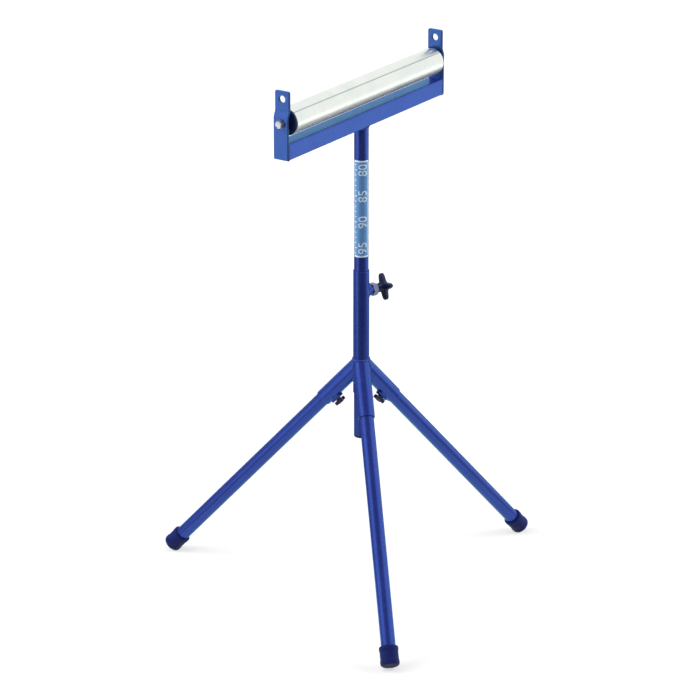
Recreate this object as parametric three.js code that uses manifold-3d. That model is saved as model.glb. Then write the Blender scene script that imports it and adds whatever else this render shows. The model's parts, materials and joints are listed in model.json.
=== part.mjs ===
// Tripod roller stand, in millimetres, +Z up, roller along X, front towards -Y.
// A steel roller spins between two end plates on a box-section beam. The beam's round column slides
// and turns in a tripod base, and star-grip screws clamp the column and the three plug-in legs.

import * as THREE from 'three';
import { mergeVertices } from 'three/addons/utils/BufferGeometryUtils.js';
import Module from 'manifold-3d';

const wasm = await Module();
wasm.setup();

// Clearances
const FIT_GAP = 0.25; // between pieces that are seated, pressed or welded together
const SLIDE_CLEARANCE = 0.3; // all round a tube that slides in another
const RUN_CLEARANCE = 0.5; // between pieces that turn past each other

// Roller, axle and ball bearings
const ROLLER_DIAMETER = 50;
const ROLLER_WALL = 1.5;
const ROLLER_LENGTH = 478;
const ROLLER_EDGE_ROUND = 0.6;
const AXLE_DIAMETER = 12;
const AXLE_TAP_DEPTH = 22;
const BEARING_DIAMETER = 32;
const BEARING_WIDTH = 10;
const BEARING_INSET = 1; // bearing face behind the end of the roller tube
const BALL_DIAMETER = 5;
const BALL_COUNT = 7;
const RACE_SHOULDER = 1.5; // ring shoulder to ball circle
const CAGE_THICKNESS = 1.6;
const CAGE_WIDTH = 3;
const HOUSING_FLANGE = 3;
const HOUSING_STEP = 0.5; // flange below the tube's surface
const HOUSING_LIP = 2.2;
const HOUSING_CHAMFER = 1.2;
const SPACER_WALL = 2.2;
const DUST_DISC = 1.6;
const END_SPACE = 13; // end of the roller tube to the end plate

// Cross beam and end plates
const BEAM_SIDE = 30;
const BEAM_WALL = 2;
const BEAM_CORNER = 3.5;
const ROLLER_CLEARANCE = 11; // roller above the beam
const PLATE_THICKNESS = 5;
const PLATE_WIDTH = 30;
const TAB_TOP = 59; // top of the tab above the roller axis
const TAB_HOLE_RISE = 44;
const TAB_HOLE_DIAMETER = 13;
const TAB_CORNER = 3;
const JOGGLE_START = 11; // above the roller axis
const JOGGLE_RISE = 14;
const JOGGLE_SET = 5; // tab set inwards from the plate

// Bolts that hold the axle
const BOLT_DIAMETER = 8;
const BOLT_HEAD_ACROSS = 13;
const BOLT_HEAD_HEIGHT = 5.3;
const BOLT_GRIP = 17; // thread in the axle
const WASHER_DIAMETER = 17;
const WASHER_THICKNESS = 1.6;

// Columns, with heights from the hub, the point where the leg axes meet
const OUTER_DIAMETER = 30;
const OUTER_WALL = 1.25;
const OUTER_ABOVE_HUB = 181;
const OUTER_BELOW_HUB = 60;
const INNER_WALL = 1.5;
const INNER_LENGTH = 603;
const BEAM_ABOVE_HUB = 459; // beam underside at the modelled height
const PLUG_FLANGE = 5;
const PLUG_STEM = 16;
const PLUG_WALL = 2;
const PLUG_ROUND = 2.5;

// Tripod
const LEG_NAMES = ['front', 'right', 'left'];
const FRONT_LEG_AZIMUTH = 221.2;
const LEG_ANGLE = 42.4; // from the vertical
const LEG_WALL = 1.5;
const LEG_LENGTH = 550;
const SOCKET_WALL = 2;
const SOCKET_REACH = 113; // hub to the socket's open end
const FOOT_WALL = 4;
const FOOT_FLOOR = 5;
const FOOT_LENGTH = 36;
const FOOT_ROUND = 5;
const FOOT_CHAMFER = 1;
const FOOT_FLAT = 1; // rubber flattened against the floor

// Column clamp
const COLUMN_CLAMP_RISE = 137.5; // above the hub
const COLUMN_CLAMP_LEG = 'right'; // the leg that the screw points over
const COLUMN_SCREW_DIAMETER = 14;
const BOSS_DIAMETER = 20;
const BOSS_HEIGHT = 7;
const BOSS_FILLET = 3.5;
const COLUMN_NUT_ACROSS = 22;
const COLUMN_NUT_HEIGHT = 11;

// Leg clamps
const LEG_CLAMP_INSET = 22; // from the socket's open end
const LEG_SCREW_DIAMETER = 8;
const LEG_NUT_LENGTH = 28; // threaded pad, along the socket
const LEG_NUT_WIDTH = 15;
const LEG_NUT_HEIGHT = 4;

// Star grips: a column-size grip and a smaller one for the legs
const STAR_ARMS = 4;
const STAR_POINTEDNESS = 1.25;
const COLUMN_STAR = {
  tip: 25.5,
  valley: 12,
  thickness: 9.5,
  neck: 10,
  neckHeight: 14,
  bevel: 2.5,
  turn: 71.5,
  armPoints: 10,
  bevelSteps: 2,
};
const LEG_STAR = {
  tip: 11.5,
  valley: 7,
  thickness: 7,
  neck: 6,
  neckHeight: 1.5,
  bevel: 1.2,
  turn: 45,
  armPoints: 8,
  bevelSteps: 1,
};
const STAR_TOP_DISC = 1;
const STAR_FLOOR = 3; // grip material over the end of the stud

// Facets
const ROUND_ROLLER = 40;
const ROUND_TUBE = 28;
const ROUND_BEARING = 20;
const ROUND_SMALL = 16;
const ARC_STEPS = 3;

// Worked-out sizes
const rollerRadius = ROLLER_DIAMETER / 2;
const axleRadius = AXLE_DIAMETER / 2;
const bearingRadius = BEARING_DIAMETER / 2;
const boltRadius = BOLT_DIAMETER / 2;
const outerRadius = OUTER_DIAMETER / 2;
const innerRadius = outerRadius - OUTER_WALL - SLIDE_CLEARANCE;
const legRadius = innerRadius;
const socketRadius = legRadius + SLIDE_CLEARANCE + SOCKET_WALL;
const footRadius = legRadius + FIT_GAP + FOOT_WALL;

const legAngle = THREE.MathUtils.degToRad(LEG_ANGLE);
const legTurn = Math.PI - legAngle; // turns +Z to a leg's direction, down and out along +X
const legTop = (outerRadius + FIT_GAP + legRadius * Math.cos(legAngle)) / Math.sin(legAngle);
const legEnd = legTop + LEG_LENGTH;
const footEnd = legEnd + FIT_GAP + FOOT_FLOOR;
const hubHeight = (footEnd - FOOT_ROUND) * Math.cos(legAngle)
  + (footRadius - FOOT_ROUND) * Math.sin(legAngle) + FOOT_ROUND - FOOT_FLAT;

const beamBottom = hubHeight + BEAM_ABOVE_HUB;
const rollerAxis = beamBottom + BEAM_SIDE + ROLLER_CLEARANCE + rollerRadius;
const tubeEnd = ROLLER_LENGTH / 2;
const plateInside = tubeEnd + END_SPACE;
const bearingOut = tubeEnd - BEARING_INSET;
const bearingIn = bearingOut - BEARING_WIDTH;
const ballCircle = (axleRadius + bearingRadius) / 2;

const stand = new THREE.Group();

// Finishes
const FINISHES = {
  paint: { color: 0x3a5aa8, roughness: 0.38, metalness: 0.1 },
  roller: { color: 0xd9dddc, roughness: 0.22, metalness: 0.95 },
  zinc: { color: 0xc3c7c9, roughness: 0.3, metalness: 0.9 },
  steel: { color: 0xa9adb0, roughness: 0.35, metalness: 0.95 },
  plastic: { color: 0x17191f, roughness: 0.5, metalness: 0 },
  rubber: { color: 0x14161c, roughness: 0.8, metalness: 0 },
};

function addPiece(parent, name, geometry, finish) {
  const mesh = new THREE.Mesh(geometry, new THREE.MeshStandardMaterial(FINISHES[finish]));
  mesh.name = name;
  parent.add(mesh);
}

// Solids for cutting and joining
function solid(geometry) {
  const bare = geometry.clone();
  bare.deleteAttribute('normal');
  bare.deleteAttribute('uv');
  const merged = mergeVertices(bare);
  const corners = merged.index.array;
  const triangles = [];
  for (let i = 0; i < corners.length; i += 3) {
    const triangle = corners.slice(i, i + 3);
    if (new Set(triangle).size === 3) triangles.push(...triangle);
  }
  return new wasm.Manifold(new wasm.Mesh({
    numProp: 3,
    vertProperties: new Float32Array(merged.attributes.position.array),
    triVerts: new Uint32Array(triangles),
  }));
}

function surface(body) {
  const mesh = body.getMesh();
  const geometry = new THREE.BufferGeometry();
  geometry.setAttribute('position', new THREE.BufferAttribute(new Float32Array(mesh.vertProperties), 3));
  geometry.setIndex(new THREE.BufferAttribute(new Uint32Array(mesh.triVerts), 1));
  geometry.computeVertexNormals();
  return geometry;
}

function cut(geometry, ...tools) {
  return surface(tools.reduce((body, tool) => body.subtract(solid(tool)), solid(geometry)));
}

function join(geometry, ...others) {
  return surface(others.reduce((body, other) => body.add(solid(other)), solid(geometry)));
}

function common(geometry, other) {
  return surface(solid(geometry).intersect(solid(other)));
}

// Turned shapes: profile points are [radius, height], anticlockwise, closed on the axis or on themselves
function turnedZ(profile, segments) {
  const points = profile.map(([radius, height]) => new THREE.Vector2(radius, height));
  return new THREE.LatheGeometry(points, segments).rotateX(Math.PI / 2);
}

function turnedX(profile, segments) {
  return turnedZ(profile, segments).rotateY(Math.PI / 2);
}

function closed(profile) {
  return [...profile, profile[0]];
}

function tubeProfile(outside, inside, low, high) {
  return closed([[inside, low], [outside, low], [outside, high], [inside, high]]);
}

function rodZ(radius, low, high, segments) {
  return turnedZ([[0, low], [radius, low], [radius, high], [0, high]], segments);
}

function rodX(radius, low, high, segments) {
  return turnedX([[0, low], [radius, low], [radius, high], [0, high]], segments);
}

function arc(centreRadius, centreHeight, radius, from, to) {
  const points = [];
  for (let step = 0; step <= ARC_STEPS; step += 1) {
    const angle = THREE.MathUtils.degToRad(from + ((to - from) * step) / ARC_STEPS);
    points.push([centreRadius + radius * Math.cos(angle), centreHeight + radius * Math.sin(angle)]);
  }
  return points;
}

// Extruded shapes
function prismZ(shape, low, high, bevel = 0, bevelSteps = 0) {
  return new THREE.ExtrudeGeometry(shape, {
    depth: high - low - 2 * bevel,
    steps: 1,
    curveSegments: ARC_STEPS,
    bevelEnabled: bevel > 0,
    bevelThickness: bevel,
    bevelSize: bevel,
    bevelOffset: -bevel,
    bevelSegments: bevelSteps,
  }).translate(0, 0, low + bevel);
}

// A shape drawn in (Y, Z), drawn out along X
function prismX(shape, low, high) {
  const turn = new THREE.Matrix4().makeBasis(
    new THREE.Vector3(0, 1, 0),
    new THREE.Vector3(0, 0, 1),
    new THREE.Vector3(1, 0, 0),
  );
  return prismZ(shape, low, high).applyMatrix4(turn);
}

// A shape drawn in (X, Z), drawn out across Y by a width centred on zero
function prismY(shape, width) {
  return prismZ(shape, -width / 2, width / 2).rotateX(Math.PI / 2);
}

function roundedSquare(target, side, radius) {
  const half = side / 2;
  target.absarc(half - radius, half - radius, radius, 0, Math.PI / 2);
  target.absarc(radius - half, half - radius, radius, Math.PI / 2, Math.PI);
  target.absarc(radius - half, radius - half, radius, Math.PI, Math.PI * 1.5);
  target.absarc(half - radius, radius - half, radius, Math.PI * 1.5, Math.PI * 2);
  target.closePath();
  return target;
}

// A hexagon with turned chamfers, for bolt heads and nuts
function hexagon(across, low, high) {
  const corner = across / Math.sqrt(3);
  const chamfer = corner - across / 2;
  const blank = new THREE.CylinderGeometry(corner, corner, high - low, 6).rotateX(Math.PI / 2);
  const turned = turnedZ([
    [0, low],
    [across / 2, low],
    [corner, low + chamfer / 2],
    [corner, high - chamfer / 2],
    [across / 2, high],
    [0, high],
  ], ROUND_SMALL);
  return common(blank.translate(0, 0, (low + high) / 2), turned);
}

// Roller: tube, and at each end a housing, ball bearing, spacer, axle bolt and end plate
const head = new THREE.Group();
head.position.z = rollerAxis;
stand.add(head);

const boreRadius = rollerRadius - ROLLER_WALL;
const rollerProfile = closed([
  [boreRadius, -tubeEnd],
  [rollerRadius - ROLLER_EDGE_ROUND, -tubeEnd],
  [rollerRadius, ROLLER_EDGE_ROUND - tubeEnd],
  [rollerRadius, tubeEnd - ROLLER_EDGE_ROUND],
  [rollerRadius - ROLLER_EDGE_ROUND, tubeEnd],
  [boreRadius, tubeEnd],
]);
addPiece(head, 'roller_tube', turnedX(rollerProfile, ROUND_ROLLER), 'roller');

const axleEnd = plateInside - FIT_GAP;
const tapRadius = boltRadius + FIT_GAP;
const axleProfile = [
  [0, AXLE_TAP_DEPTH - axleEnd],
  [tapRadius, AXLE_TAP_DEPTH - axleEnd],
  [tapRadius, -axleEnd],
  [axleRadius, -axleEnd],
  [axleRadius, axleEnd],
  [tapRadius, axleEnd],
  [tapRadius, axleEnd - AXLE_TAP_DEPTH],
  [0, axleEnd - AXLE_TAP_DEPTH],
];
addPiece(head, 'roller_axle', turnedX(axleProfile, ROUND_SMALL), 'steel');

function bearingHousing() {
  const barrel = boreRadius - FIT_GAP;
  const flange = rollerRadius - HOUSING_STEP;
  const seat = bearingRadius + FIT_GAP;
  const seatFloor = bearingIn - FIT_GAP;
  const flangeBack = tubeEnd + FIT_GAP;
  const flangeFace = flangeBack + HOUSING_FLANGE;
  return turnedX(closed([
    [seat - HOUSING_LIP, seatFloor - HOUSING_LIP],
    [barrel, seatFloor - HOUSING_LIP],
    [barrel, flangeBack],
    [flange, flangeBack],
    [flange, flangeFace - HOUSING_CHAMFER],
    [flange - HOUSING_CHAMFER, flangeFace],
    [seat, flangeFace],
    [seat, seatFloor],
    [seat - HOUSING_LIP, seatFloor],
  ]), ROUND_TUBE);
}

// Ring grooves are arcs about the ball circle, a running clearance larger than the balls
const grooveRadius = BALL_DIAMETER / 2 + SLIDE_CLEARANCE;
const grooveAngle = THREE.MathUtils.radToDeg(Math.acos(RACE_SHOULDER / grooveRadius));
const bearingMiddle = (bearingIn + bearingOut) / 2;

function innerRing() {
  const bore = axleRadius + FIT_GAP;
  const groove = arc(ballCircle, bearingMiddle, grooveRadius, 180 + grooveAngle, 180 - grooveAngle);
  const shoulder = ballCircle - RACE_SHOULDER;
  const inside = [[bore, bearingOut], [bore, bearingIn]];
  const profile = [...inside, [shoulder, bearingIn], ...groove, [shoulder, bearingOut]];
  return turnedX(closed(profile), ROUND_BEARING);
}

function outerRing() {
  const groove = arc(ballCircle, bearingMiddle, grooveRadius, grooveAngle, -grooveAngle);
  const shoulder = ballCircle + RACE_SHOULDER;
  const outside = [[bearingRadius, bearingIn], [bearingRadius, bearingOut]];
  const profile = [...outside, [shoulder, bearingOut], ...groove, [shoulder, bearingIn]];
  return turnedX(closed(profile), ROUND_BEARING);
}

function ballCage() {
  const half = CAGE_THICKNESS / 2;
  const low = bearingMiddle - CAGE_WIDTH / 2;
  const profile = tubeProfile(ballCircle + half, ballCircle - half, low, low + CAGE_WIDTH);
  const ring = turnedX(profile, 2 * BALL_COUNT);
  const balls = [];
  for (let ball = 0; ball < BALL_COUNT; ball += 1) {
    const sphere = new THREE.IcosahedronGeometry(BALL_DIAMETER / 2, 1);
    sphere.translate(bearingMiddle, ballCircle, 0);
    balls.push(sphere.rotateX((ball * 2 * Math.PI) / BALL_COUNT));
  }
  return join(ring, ...balls);
}

// A sleeve between the plate and the inner ring, with a disc that closes the housing's mouth
function axleSpacer() {
  const bore = axleRadius + FIT_GAP;
  const disc = bearingRadius + FIT_GAP - RUN_CLEARANCE;
  const low = bearingOut + FIT_GAP;
  const shoulder = bore + SPACER_WALL;
  const discLow = low + RUN_CLEARANCE;
  return turnedX(closed([
    [bore, low],
    [shoulder, low],
    [shoulder, discLow],
    [disc, discLow],
    [disc, discLow + DUST_DISC],
    [shoulder, discLow + DUST_DISC],
    [shoulder, plateInside - FIT_GAP],
    [bore, plateInside - FIT_GAP],
  ]), ROUND_BEARING);
}

// A flat bar with a joggle: its side profile, cut to its face outline
function endPlate() {
  const low = beamBottom - rollerAxis;
  const outside = plateInside + PLATE_THICKNESS;
  const joggleTop = JOGGLE_START + JOGGLE_RISE;
  const shorten = PLATE_THICKNESS * Math.tan(Math.atan2(JOGGLE_SET, JOGGLE_RISE) / 2);
  const side = new THREE.Shape();
  side.moveTo(outside, low);
  side.lineTo(outside, JOGGLE_START);
  side.lineTo(outside - JOGGLE_SET, joggleTop);
  side.lineTo(outside - JOGGLE_SET, TAB_TOP);
  side.lineTo(plateInside - JOGGLE_SET, TAB_TOP);
  side.lineTo(plateInside - JOGGLE_SET, joggleTop - shorten);
  side.lineTo(plateInside, JOGGLE_START - shorten);
  side.lineTo(plateInside, low);
  side.closePath();

  const half = PLATE_WIDTH / 2;
  const face = new THREE.Shape();
  face.moveTo(-half, low);
  face.lineTo(half, low);
  face.absarc(half - TAB_CORNER, TAB_TOP - TAB_CORNER, TAB_CORNER, 0, Math.PI / 2);
  face.absarc(TAB_CORNER - half, TAB_TOP - TAB_CORNER, TAB_CORNER, Math.PI / 2, Math.PI);
  face.closePath();

  const through = [plateInside - JOGGLE_SET - PLATE_THICKNESS, outside + PLATE_THICKNESS];
  const bar = common(prismY(side, PLATE_WIDTH + 2 * PLATE_THICKNESS), prismX(face, ...through));
  const boltHole = rodX(boltRadius + FIT_GAP, ...through, ROUND_SMALL);
  const tabHole = rodX(TAB_HOLE_DIAMETER / 2, ...through, ROUND_SMALL).translate(0, 0, TAB_HOLE_RISE);
  return cut(bar, boltHole, tabHole);
}

const plateOutside = plateInside + PLATE_THICKNESS;
const washerFace = plateOutside + FIT_GAP + WASHER_THICKNESS;

function axleWasher() {
  const bore = boltRadius + FIT_GAP;
  return turnedX(tubeProfile(WASHER_DIAMETER / 2, bore, plateOutside + FIT_GAP, washerFace), ROUND_SMALL);
}

function axleBolt() {
  const seat = washerFace + FIT_GAP;
  const bolt = hexagon(BOLT_HEAD_ACROSS, seat, seat + BOLT_HEAD_HEIGHT);
  const shank = rodZ(boltRadius, axleEnd - BOLT_GRIP, seat + BOLT_HEAD_HEIGHT / 2, ROUND_SMALL);
  return join(bolt, shank).rotateY(Math.PI / 2);
}

for (const side of ['left', 'right']) {
  const end = new THREE.Group();
  end.rotation.z = side === 'left' ? Math.PI : 0;
  head.add(end);
  addPiece(end, `bearing_housing_${side}`, bearingHousing(), 'plastic');
  addPiece(end, `bearing_outer_ring_${side}`, outerRing(), 'steel');
  addPiece(end, `ball_cage_${side}`, ballCage(), 'steel');
  addPiece(end, `bearing_inner_ring_${side}`, innerRing(), 'steel');
  addPiece(end, `axle_spacer_${side}`, axleSpacer(), 'plastic');
  addPiece(end, `end_plate_${side}`, endPlate(), 'paint');
  addPiece(end, `axle_washer_${side}`, axleWasher(), 'zinc');
  addPiece(end, `axle_bolt_${side}`, axleBolt(), 'zinc');
}

// Cross beam: square box section, closed at both ends by the plates
const beamSection = roundedSquare(new THREE.Shape(), BEAM_SIDE, BEAM_CORNER);
beamSection.holes.push(roundedSquare(new THREE.Path(), BEAM_SIDE - 2 * BEAM_WALL, BEAM_CORNER - BEAM_WALL));
const beam = prismX(beamSection, FIT_GAP - plateInside, plateInside - FIT_GAP);
beam.translate(0, 0, beamBottom + BEAM_SIDE / 2 - rollerAxis);
addPiece(head, 'cross_beam', beam, 'paint');

// Inner column, with a plug in its lower end
const innerTop = beamBottom - FIT_GAP;
const innerBottom = innerTop - INNER_LENGTH;
const innerBore = innerRadius - INNER_WALL;
const innerProfile = tubeProfile(innerRadius, innerBore, innerBottom, innerTop);
addPiece(stand, 'inner_column', turnedZ(innerProfile, ROUND_TUBE), 'paint');

function columnPlug() {
  const top = innerBottom - FIT_GAP;
  const bottom = top - PLUG_FLANGE;
  const stem = innerBore - FIT_GAP;
  const stemTop = innerBottom + PLUG_STEM;
  return turnedZ([
    [0, bottom],
    ...arc(innerRadius - PLUG_ROUND, bottom + PLUG_ROUND, PLUG_ROUND, -90, 0),
    [innerRadius, top],
    [stem, top],
    [stem, stemTop],
    [stem - PLUG_WALL, stemTop],
    [stem - PLUG_WALL, top],
    [0, top],
  ], ROUND_TUBE);
}
addPiece(stand, 'column_plug', columnPlug(), 'plastic');

// Outer column, with a hole for the clamp screw
const hub = new THREE.Group();
hub.position.z = hubHeight;
stand.add(hub);

function legAzimuth(index) {
  return THREE.MathUtils.degToRad(FRONT_LEG_AZIMUTH + (360 * index) / LEG_NAMES.length);
}

const clampAzimuth = legAzimuth(LEG_NAMES.indexOf(COLUMN_CLAMP_LEG));
const outerProfile = tubeProfile(outerRadius, outerRadius - OUTER_WALL, -OUTER_BELOW_HUB, OUTER_ABOVE_HUB);
const columnScrewHole = rodX(COLUMN_SCREW_DIAMETER / 2 + FIT_GAP, 0, OUTER_DIAMETER, ROUND_SMALL)
  .rotateZ(clampAzimuth)
  .translate(0, 0, COLUMN_CLAMP_RISE);
addPiece(hub, 'outer_column', cut(turnedZ(outerProfile, ROUND_TUBE), columnScrewHole), 'paint');

// Clamp screws: in a clamp's own frame the screw runs out along +Z and the clamped tube lies along X
function starGrip(star, start, studEnd, screwRadius) {
  const outline = [];
  const points = STAR_ARMS * star.armPoints;
  for (let point = 0; point < points; point += 1) {
    const angle = (2 * Math.PI * point) / points;
    const lobe = 0.5 + 0.5 * Math.cos(STAR_ARMS * angle);
    const radius = star.valley + (star.tip - star.valley) * lobe ** STAR_POINTEDNESS;
    const turned = angle + THREE.MathUtils.degToRad(star.turn);
    outline.push(new THREE.Vector2(radius * Math.cos(turned), radius * Math.sin(turned)));
  }
  const starLow = start + star.neckHeight;
  const starHigh = starLow + star.thickness;
  const arms = prismZ(new THREE.Shape(outline), starLow, starHigh, star.bevel, star.bevelSteps);
  const core = rodZ(star.neck, start, starHigh + STAR_TOP_DISC, ROUND_SMALL);
  const bore = rodZ(screwRadius + FIT_GAP, start - FIT_GAP, studEnd + FIT_GAP, ROUND_SMALL);
  return cut(join(arms, core), bore);
}

function addScrew(clamp, name, suffix, star, screwRadius, tip, seat) {
  const start = seat + RUN_CLEARANCE;
  const studEnd = start + star.neckHeight + star.thickness - STAR_FLOOR;
  addPiece(clamp, `${name}_stud${suffix}`, rodZ(screwRadius, tip, studEnd, ROUND_SMALL), 'zinc');
  addPiece(clamp, `${name}_knob${suffix}`, starGrip(star, start, studEnd, screwRadius), 'plastic');
}

const columnClamp = new THREE.Group();
columnClamp.position.z = COLUMN_CLAMP_RISE;
columnClamp.rotation.set(0, Math.PI / 2, clampAzimuth, 'ZYX');
hub.add(columnClamp);

function columnBoss() {
  const radius = BOSS_DIAMETER / 2;
  const top = outerRadius + BOSS_HEIGHT;
  const bore = COLUMN_SCREW_DIAMETER / 2 + FIT_GAP;
  const fillet = arc(radius + BOSS_FILLET, outerRadius + BOSS_FILLET, BOSS_FILLET, 270, 180);
  const profile = closed([[bore, 0], [radius + BOSS_FILLET, 0], ...fillet, [radius, top], [bore, top]]);
  const column = rodX(outerRadius + FIT_GAP, -2 * BOSS_DIAMETER, 2 * BOSS_DIAMETER, ROUND_TUBE);
  return cut(turnedZ(profile, ROUND_SMALL), column);
}

const nutSeat = outerRadius + BOSS_HEIGHT + FIT_GAP;
const nutTop = nutSeat + COLUMN_NUT_HEIGHT;
const nutBore = rodZ(COLUMN_SCREW_DIAMETER / 2 + FIT_GAP, 0, nutTop + BOSS_HEIGHT, ROUND_SMALL);
addPiece(columnClamp, 'column_clamp_boss', columnBoss(), 'paint');
const columnNut = cut(hexagon(COLUMN_NUT_ACROSS, nutSeat, nutTop), nutBore);
addPiece(columnClamp, 'column_clamp_nut', columnNut, 'zinc');
const columnScrewRadius = COLUMN_SCREW_DIAMETER / 2;
const columnScrewTip = innerRadius + SLIDE_CLEARANCE;
addScrew(columnClamp, 'column_clamp', '', COLUMN_STAR, columnScrewRadius, columnScrewTip, nutTop);

// Legs: in a leg's own frame +Z runs down along the leg from the hub and +X is its underside
const legScrewRadius = LEG_SCREW_DIAMETER / 2;
const legScrewTip = legRadius + SLIDE_CLEARANCE;
const legClampPlace = SOCKET_REACH - LEG_CLAMP_INSET;
const legScrewHole = rodX(legScrewRadius + FIT_GAP, 0, 2 * socketRadius, ROUND_SMALL)
  .translate(0, 0, legClampPlace);

// A tube saddle-cut to the column and trimmed to its third of the circle, clear of the sockets beside it
function legSocket() {
  const reach = 2 * SOCKET_REACH;
  const half = Math.PI / LEG_NAMES.length;
  const apex = FIT_GAP / 2 / Math.sin(half);
  const sector = new THREE.Shape();
  sector.moveTo(apex, 0);
  sector.lineTo(apex + reach, -reach * Math.tan(half));
  sector.lineTo(apex + reach, reach * Math.tan(half));
  sector.closePath();
  const wedge = prismZ(sector, -reach, reach).rotateY(-legTurn);
  const column = rodZ(outerRadius + FIT_GAP, -reach, reach, ROUND_TUBE).rotateY(-legTurn);
  const tube = turnedZ(tubeProfile(socketRadius, socketRadius - SOCKET_WALL, 0, SOCKET_REACH), ROUND_TUBE);
  return cut(common(tube, wedge), column, legScrewHole);
}

// A cup of rubber, flat where it bears on the floor
function footCap() {
  const inside = legRadius + FIT_GAP;
  const mouth = footEnd - FOOT_LENGTH;
  const cup = turnedZ([
    [0, legEnd + FIT_GAP],
    [inside, legEnd + FIT_GAP],
    [inside, mouth],
    [footRadius - FOOT_CHAMFER, mouth],
    [footRadius, mouth + FOOT_CHAMFER],
    ...arc(footRadius - FOOT_ROUND, footEnd - FOOT_ROUND, FOOT_ROUND, 0, 90),
    [0, footEnd],
  ], ROUND_TUBE);
  const floor = new THREE.BoxGeometry(2 * footEnd, 2 * footEnd, footEnd);
  floor.translate(0, 0, -hubHeight - footEnd / 2).rotateY(-legTurn);
  return cut(cup, floor);
}

// A threaded pad with round ends, saddle-cut to the socket
function legNut() {
  const end = LEG_NUT_WIDTH / 2;
  const straight = LEG_NUT_LENGTH / 2 - end;
  const outline = new THREE.Shape();
  outline.absarc(straight, 0, end, -Math.PI / 2, 0);
  outline.absarc(straight, 0, end, 0, Math.PI / 2);
  outline.absarc(-straight, 0, end, Math.PI / 2, Math.PI);
  outline.absarc(-straight, 0, end, Math.PI, 1.5 * Math.PI);
  const top = socketRadius + LEG_NUT_HEIGHT;
  const bore = rodZ(legScrewRadius + FIT_GAP, -FIT_GAP, top + FIT_GAP, ROUND_SMALL);
  const socket = rodX(socketRadius + FIT_GAP, -LEG_NUT_LENGTH, LEG_NUT_LENGTH, ROUND_TUBE);
  return cut(prismZ(outline, 0, top), bore, socket);
}

LEG_NAMES.forEach((name, index) => {
  const leg = new THREE.Group();
  leg.rotation.set(0, legTurn, legAzimuth(index), 'ZYX');
  hub.add(leg);
  addPiece(leg, `leg_socket_${name}`, legSocket(), 'paint');
  const legProfile = tubeProfile(legRadius, legRadius - LEG_WALL, legTop, legEnd);
  addPiece(leg, `leg_tube_${name}`, turnedZ(legProfile, ROUND_TUBE), 'paint');
  addPiece(leg, `foot_cap_${name}`, footCap(), 'rubber');

  const clamp = new THREE.Group();
  clamp.position.z = legClampPlace;
  clamp.rotation.y = Math.PI / 2;
  leg.add(clamp);
  const nutFace = socketRadius + LEG_NUT_HEIGHT;
  addPiece(clamp, `leg_clamp_nut_${name}`, legNut(), 'paint');
  addScrew(clamp, 'leg_clamp', `_${name}`, LEG_STAR, legScrewRadius, legScrewTip, nutFace);
});

// The origin is on the floor, under the middle of the whole stand
stand.updateMatrixWorld(true);
const middle = new THREE.Box3().setFromObject(stand, true).getCenter(new THREE.Vector3());
stand.position.set(-middle.x, -middle.y, 0);

export default stand;
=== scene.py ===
import json
import math

import bmesh
import bpy
from mathutils import Matrix, Vector


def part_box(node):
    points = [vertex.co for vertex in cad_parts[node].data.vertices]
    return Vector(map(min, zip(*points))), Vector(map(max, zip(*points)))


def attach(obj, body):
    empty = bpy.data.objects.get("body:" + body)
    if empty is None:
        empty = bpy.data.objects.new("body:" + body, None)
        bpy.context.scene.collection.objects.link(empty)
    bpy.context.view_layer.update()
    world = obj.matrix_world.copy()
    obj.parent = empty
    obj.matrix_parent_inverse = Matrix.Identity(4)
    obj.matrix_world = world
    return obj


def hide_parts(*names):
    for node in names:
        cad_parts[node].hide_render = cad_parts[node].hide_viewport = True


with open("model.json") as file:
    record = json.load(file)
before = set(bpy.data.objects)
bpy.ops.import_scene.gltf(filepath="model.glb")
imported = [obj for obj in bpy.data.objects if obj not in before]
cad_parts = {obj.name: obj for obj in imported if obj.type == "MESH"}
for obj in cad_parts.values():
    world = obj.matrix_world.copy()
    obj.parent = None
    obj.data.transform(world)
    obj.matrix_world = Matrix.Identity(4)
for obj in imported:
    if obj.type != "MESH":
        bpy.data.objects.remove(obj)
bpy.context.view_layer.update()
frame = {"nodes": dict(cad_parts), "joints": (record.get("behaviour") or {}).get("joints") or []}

MM = 0.001
UP = Vector((0, 0, 1))
ALONG_ROLLER = Vector((1, 0, 0))
LEGS = ("front", "right", "left")
ENDS = ("left", "right")
JOINTS = {joint["name"]: joint for joint in frame["joints"]}

# Photograph's camera, about the column's axis
CAMERA_AZIMUTH = -56.242
CAMERA_ELEVATION = 20.354
CAMERA_DISTANCE = 6.4034
CAMERA_LENS = 176.72
CAMERA_SENSOR = 36
CAMERA_CLIP = 100
AIM_SIDEWAYS = -20.81 * MM
AIM_HEIGHT = 469.63 * MM

# Walls and edges
OUTER_WALL = 1.25 * MM
INNER_WALL = 1.5 * MM
LEG_WALL = 1.5 * MM
SOCKET_WALL = 2 * MM
ROLLER_WALL = 1.5 * MM
BEAM_WALL = 2 * MM
BEAM_CORNER = 1.5 * MM
BEAM_END_FACING = 0.9  # faces that look along the beam by more than this are its open ends
TUBE_LIP = 0.45 * MM
SOCKET_LIP = 0.9 * MM
ROLLER_LIP = 0.6 * MM

# End plates, with heights above the roller's axis
PLATE_THICKNESS = 5 * MM
PLATE_EDGE = 0.7 * MM
TAB_HOLE_RADIUS = 6.5 * MM
TAB_CORNER = 3 * MM
JOGGLE_LOW = 10 * MM
JOGGLE_HIGH = 25 * MM
JOGGLE_STEPS = 12
PAINTED_SHADE_FACING = 0.8  # faces that look sideways by more than this are the bar's cut edges, which take a painted shade

# Roller's painted reflection streak, a darker line that stands in for a reflected gap between lamps, from
# the top towards the front
REFLECTION_STREAK_ANGLE = math.radians(40)
REFLECTION_STREAK_HALF = 1.6 * MM
REFLECTION_STREAK_CORE = 0.64 * MM

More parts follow.
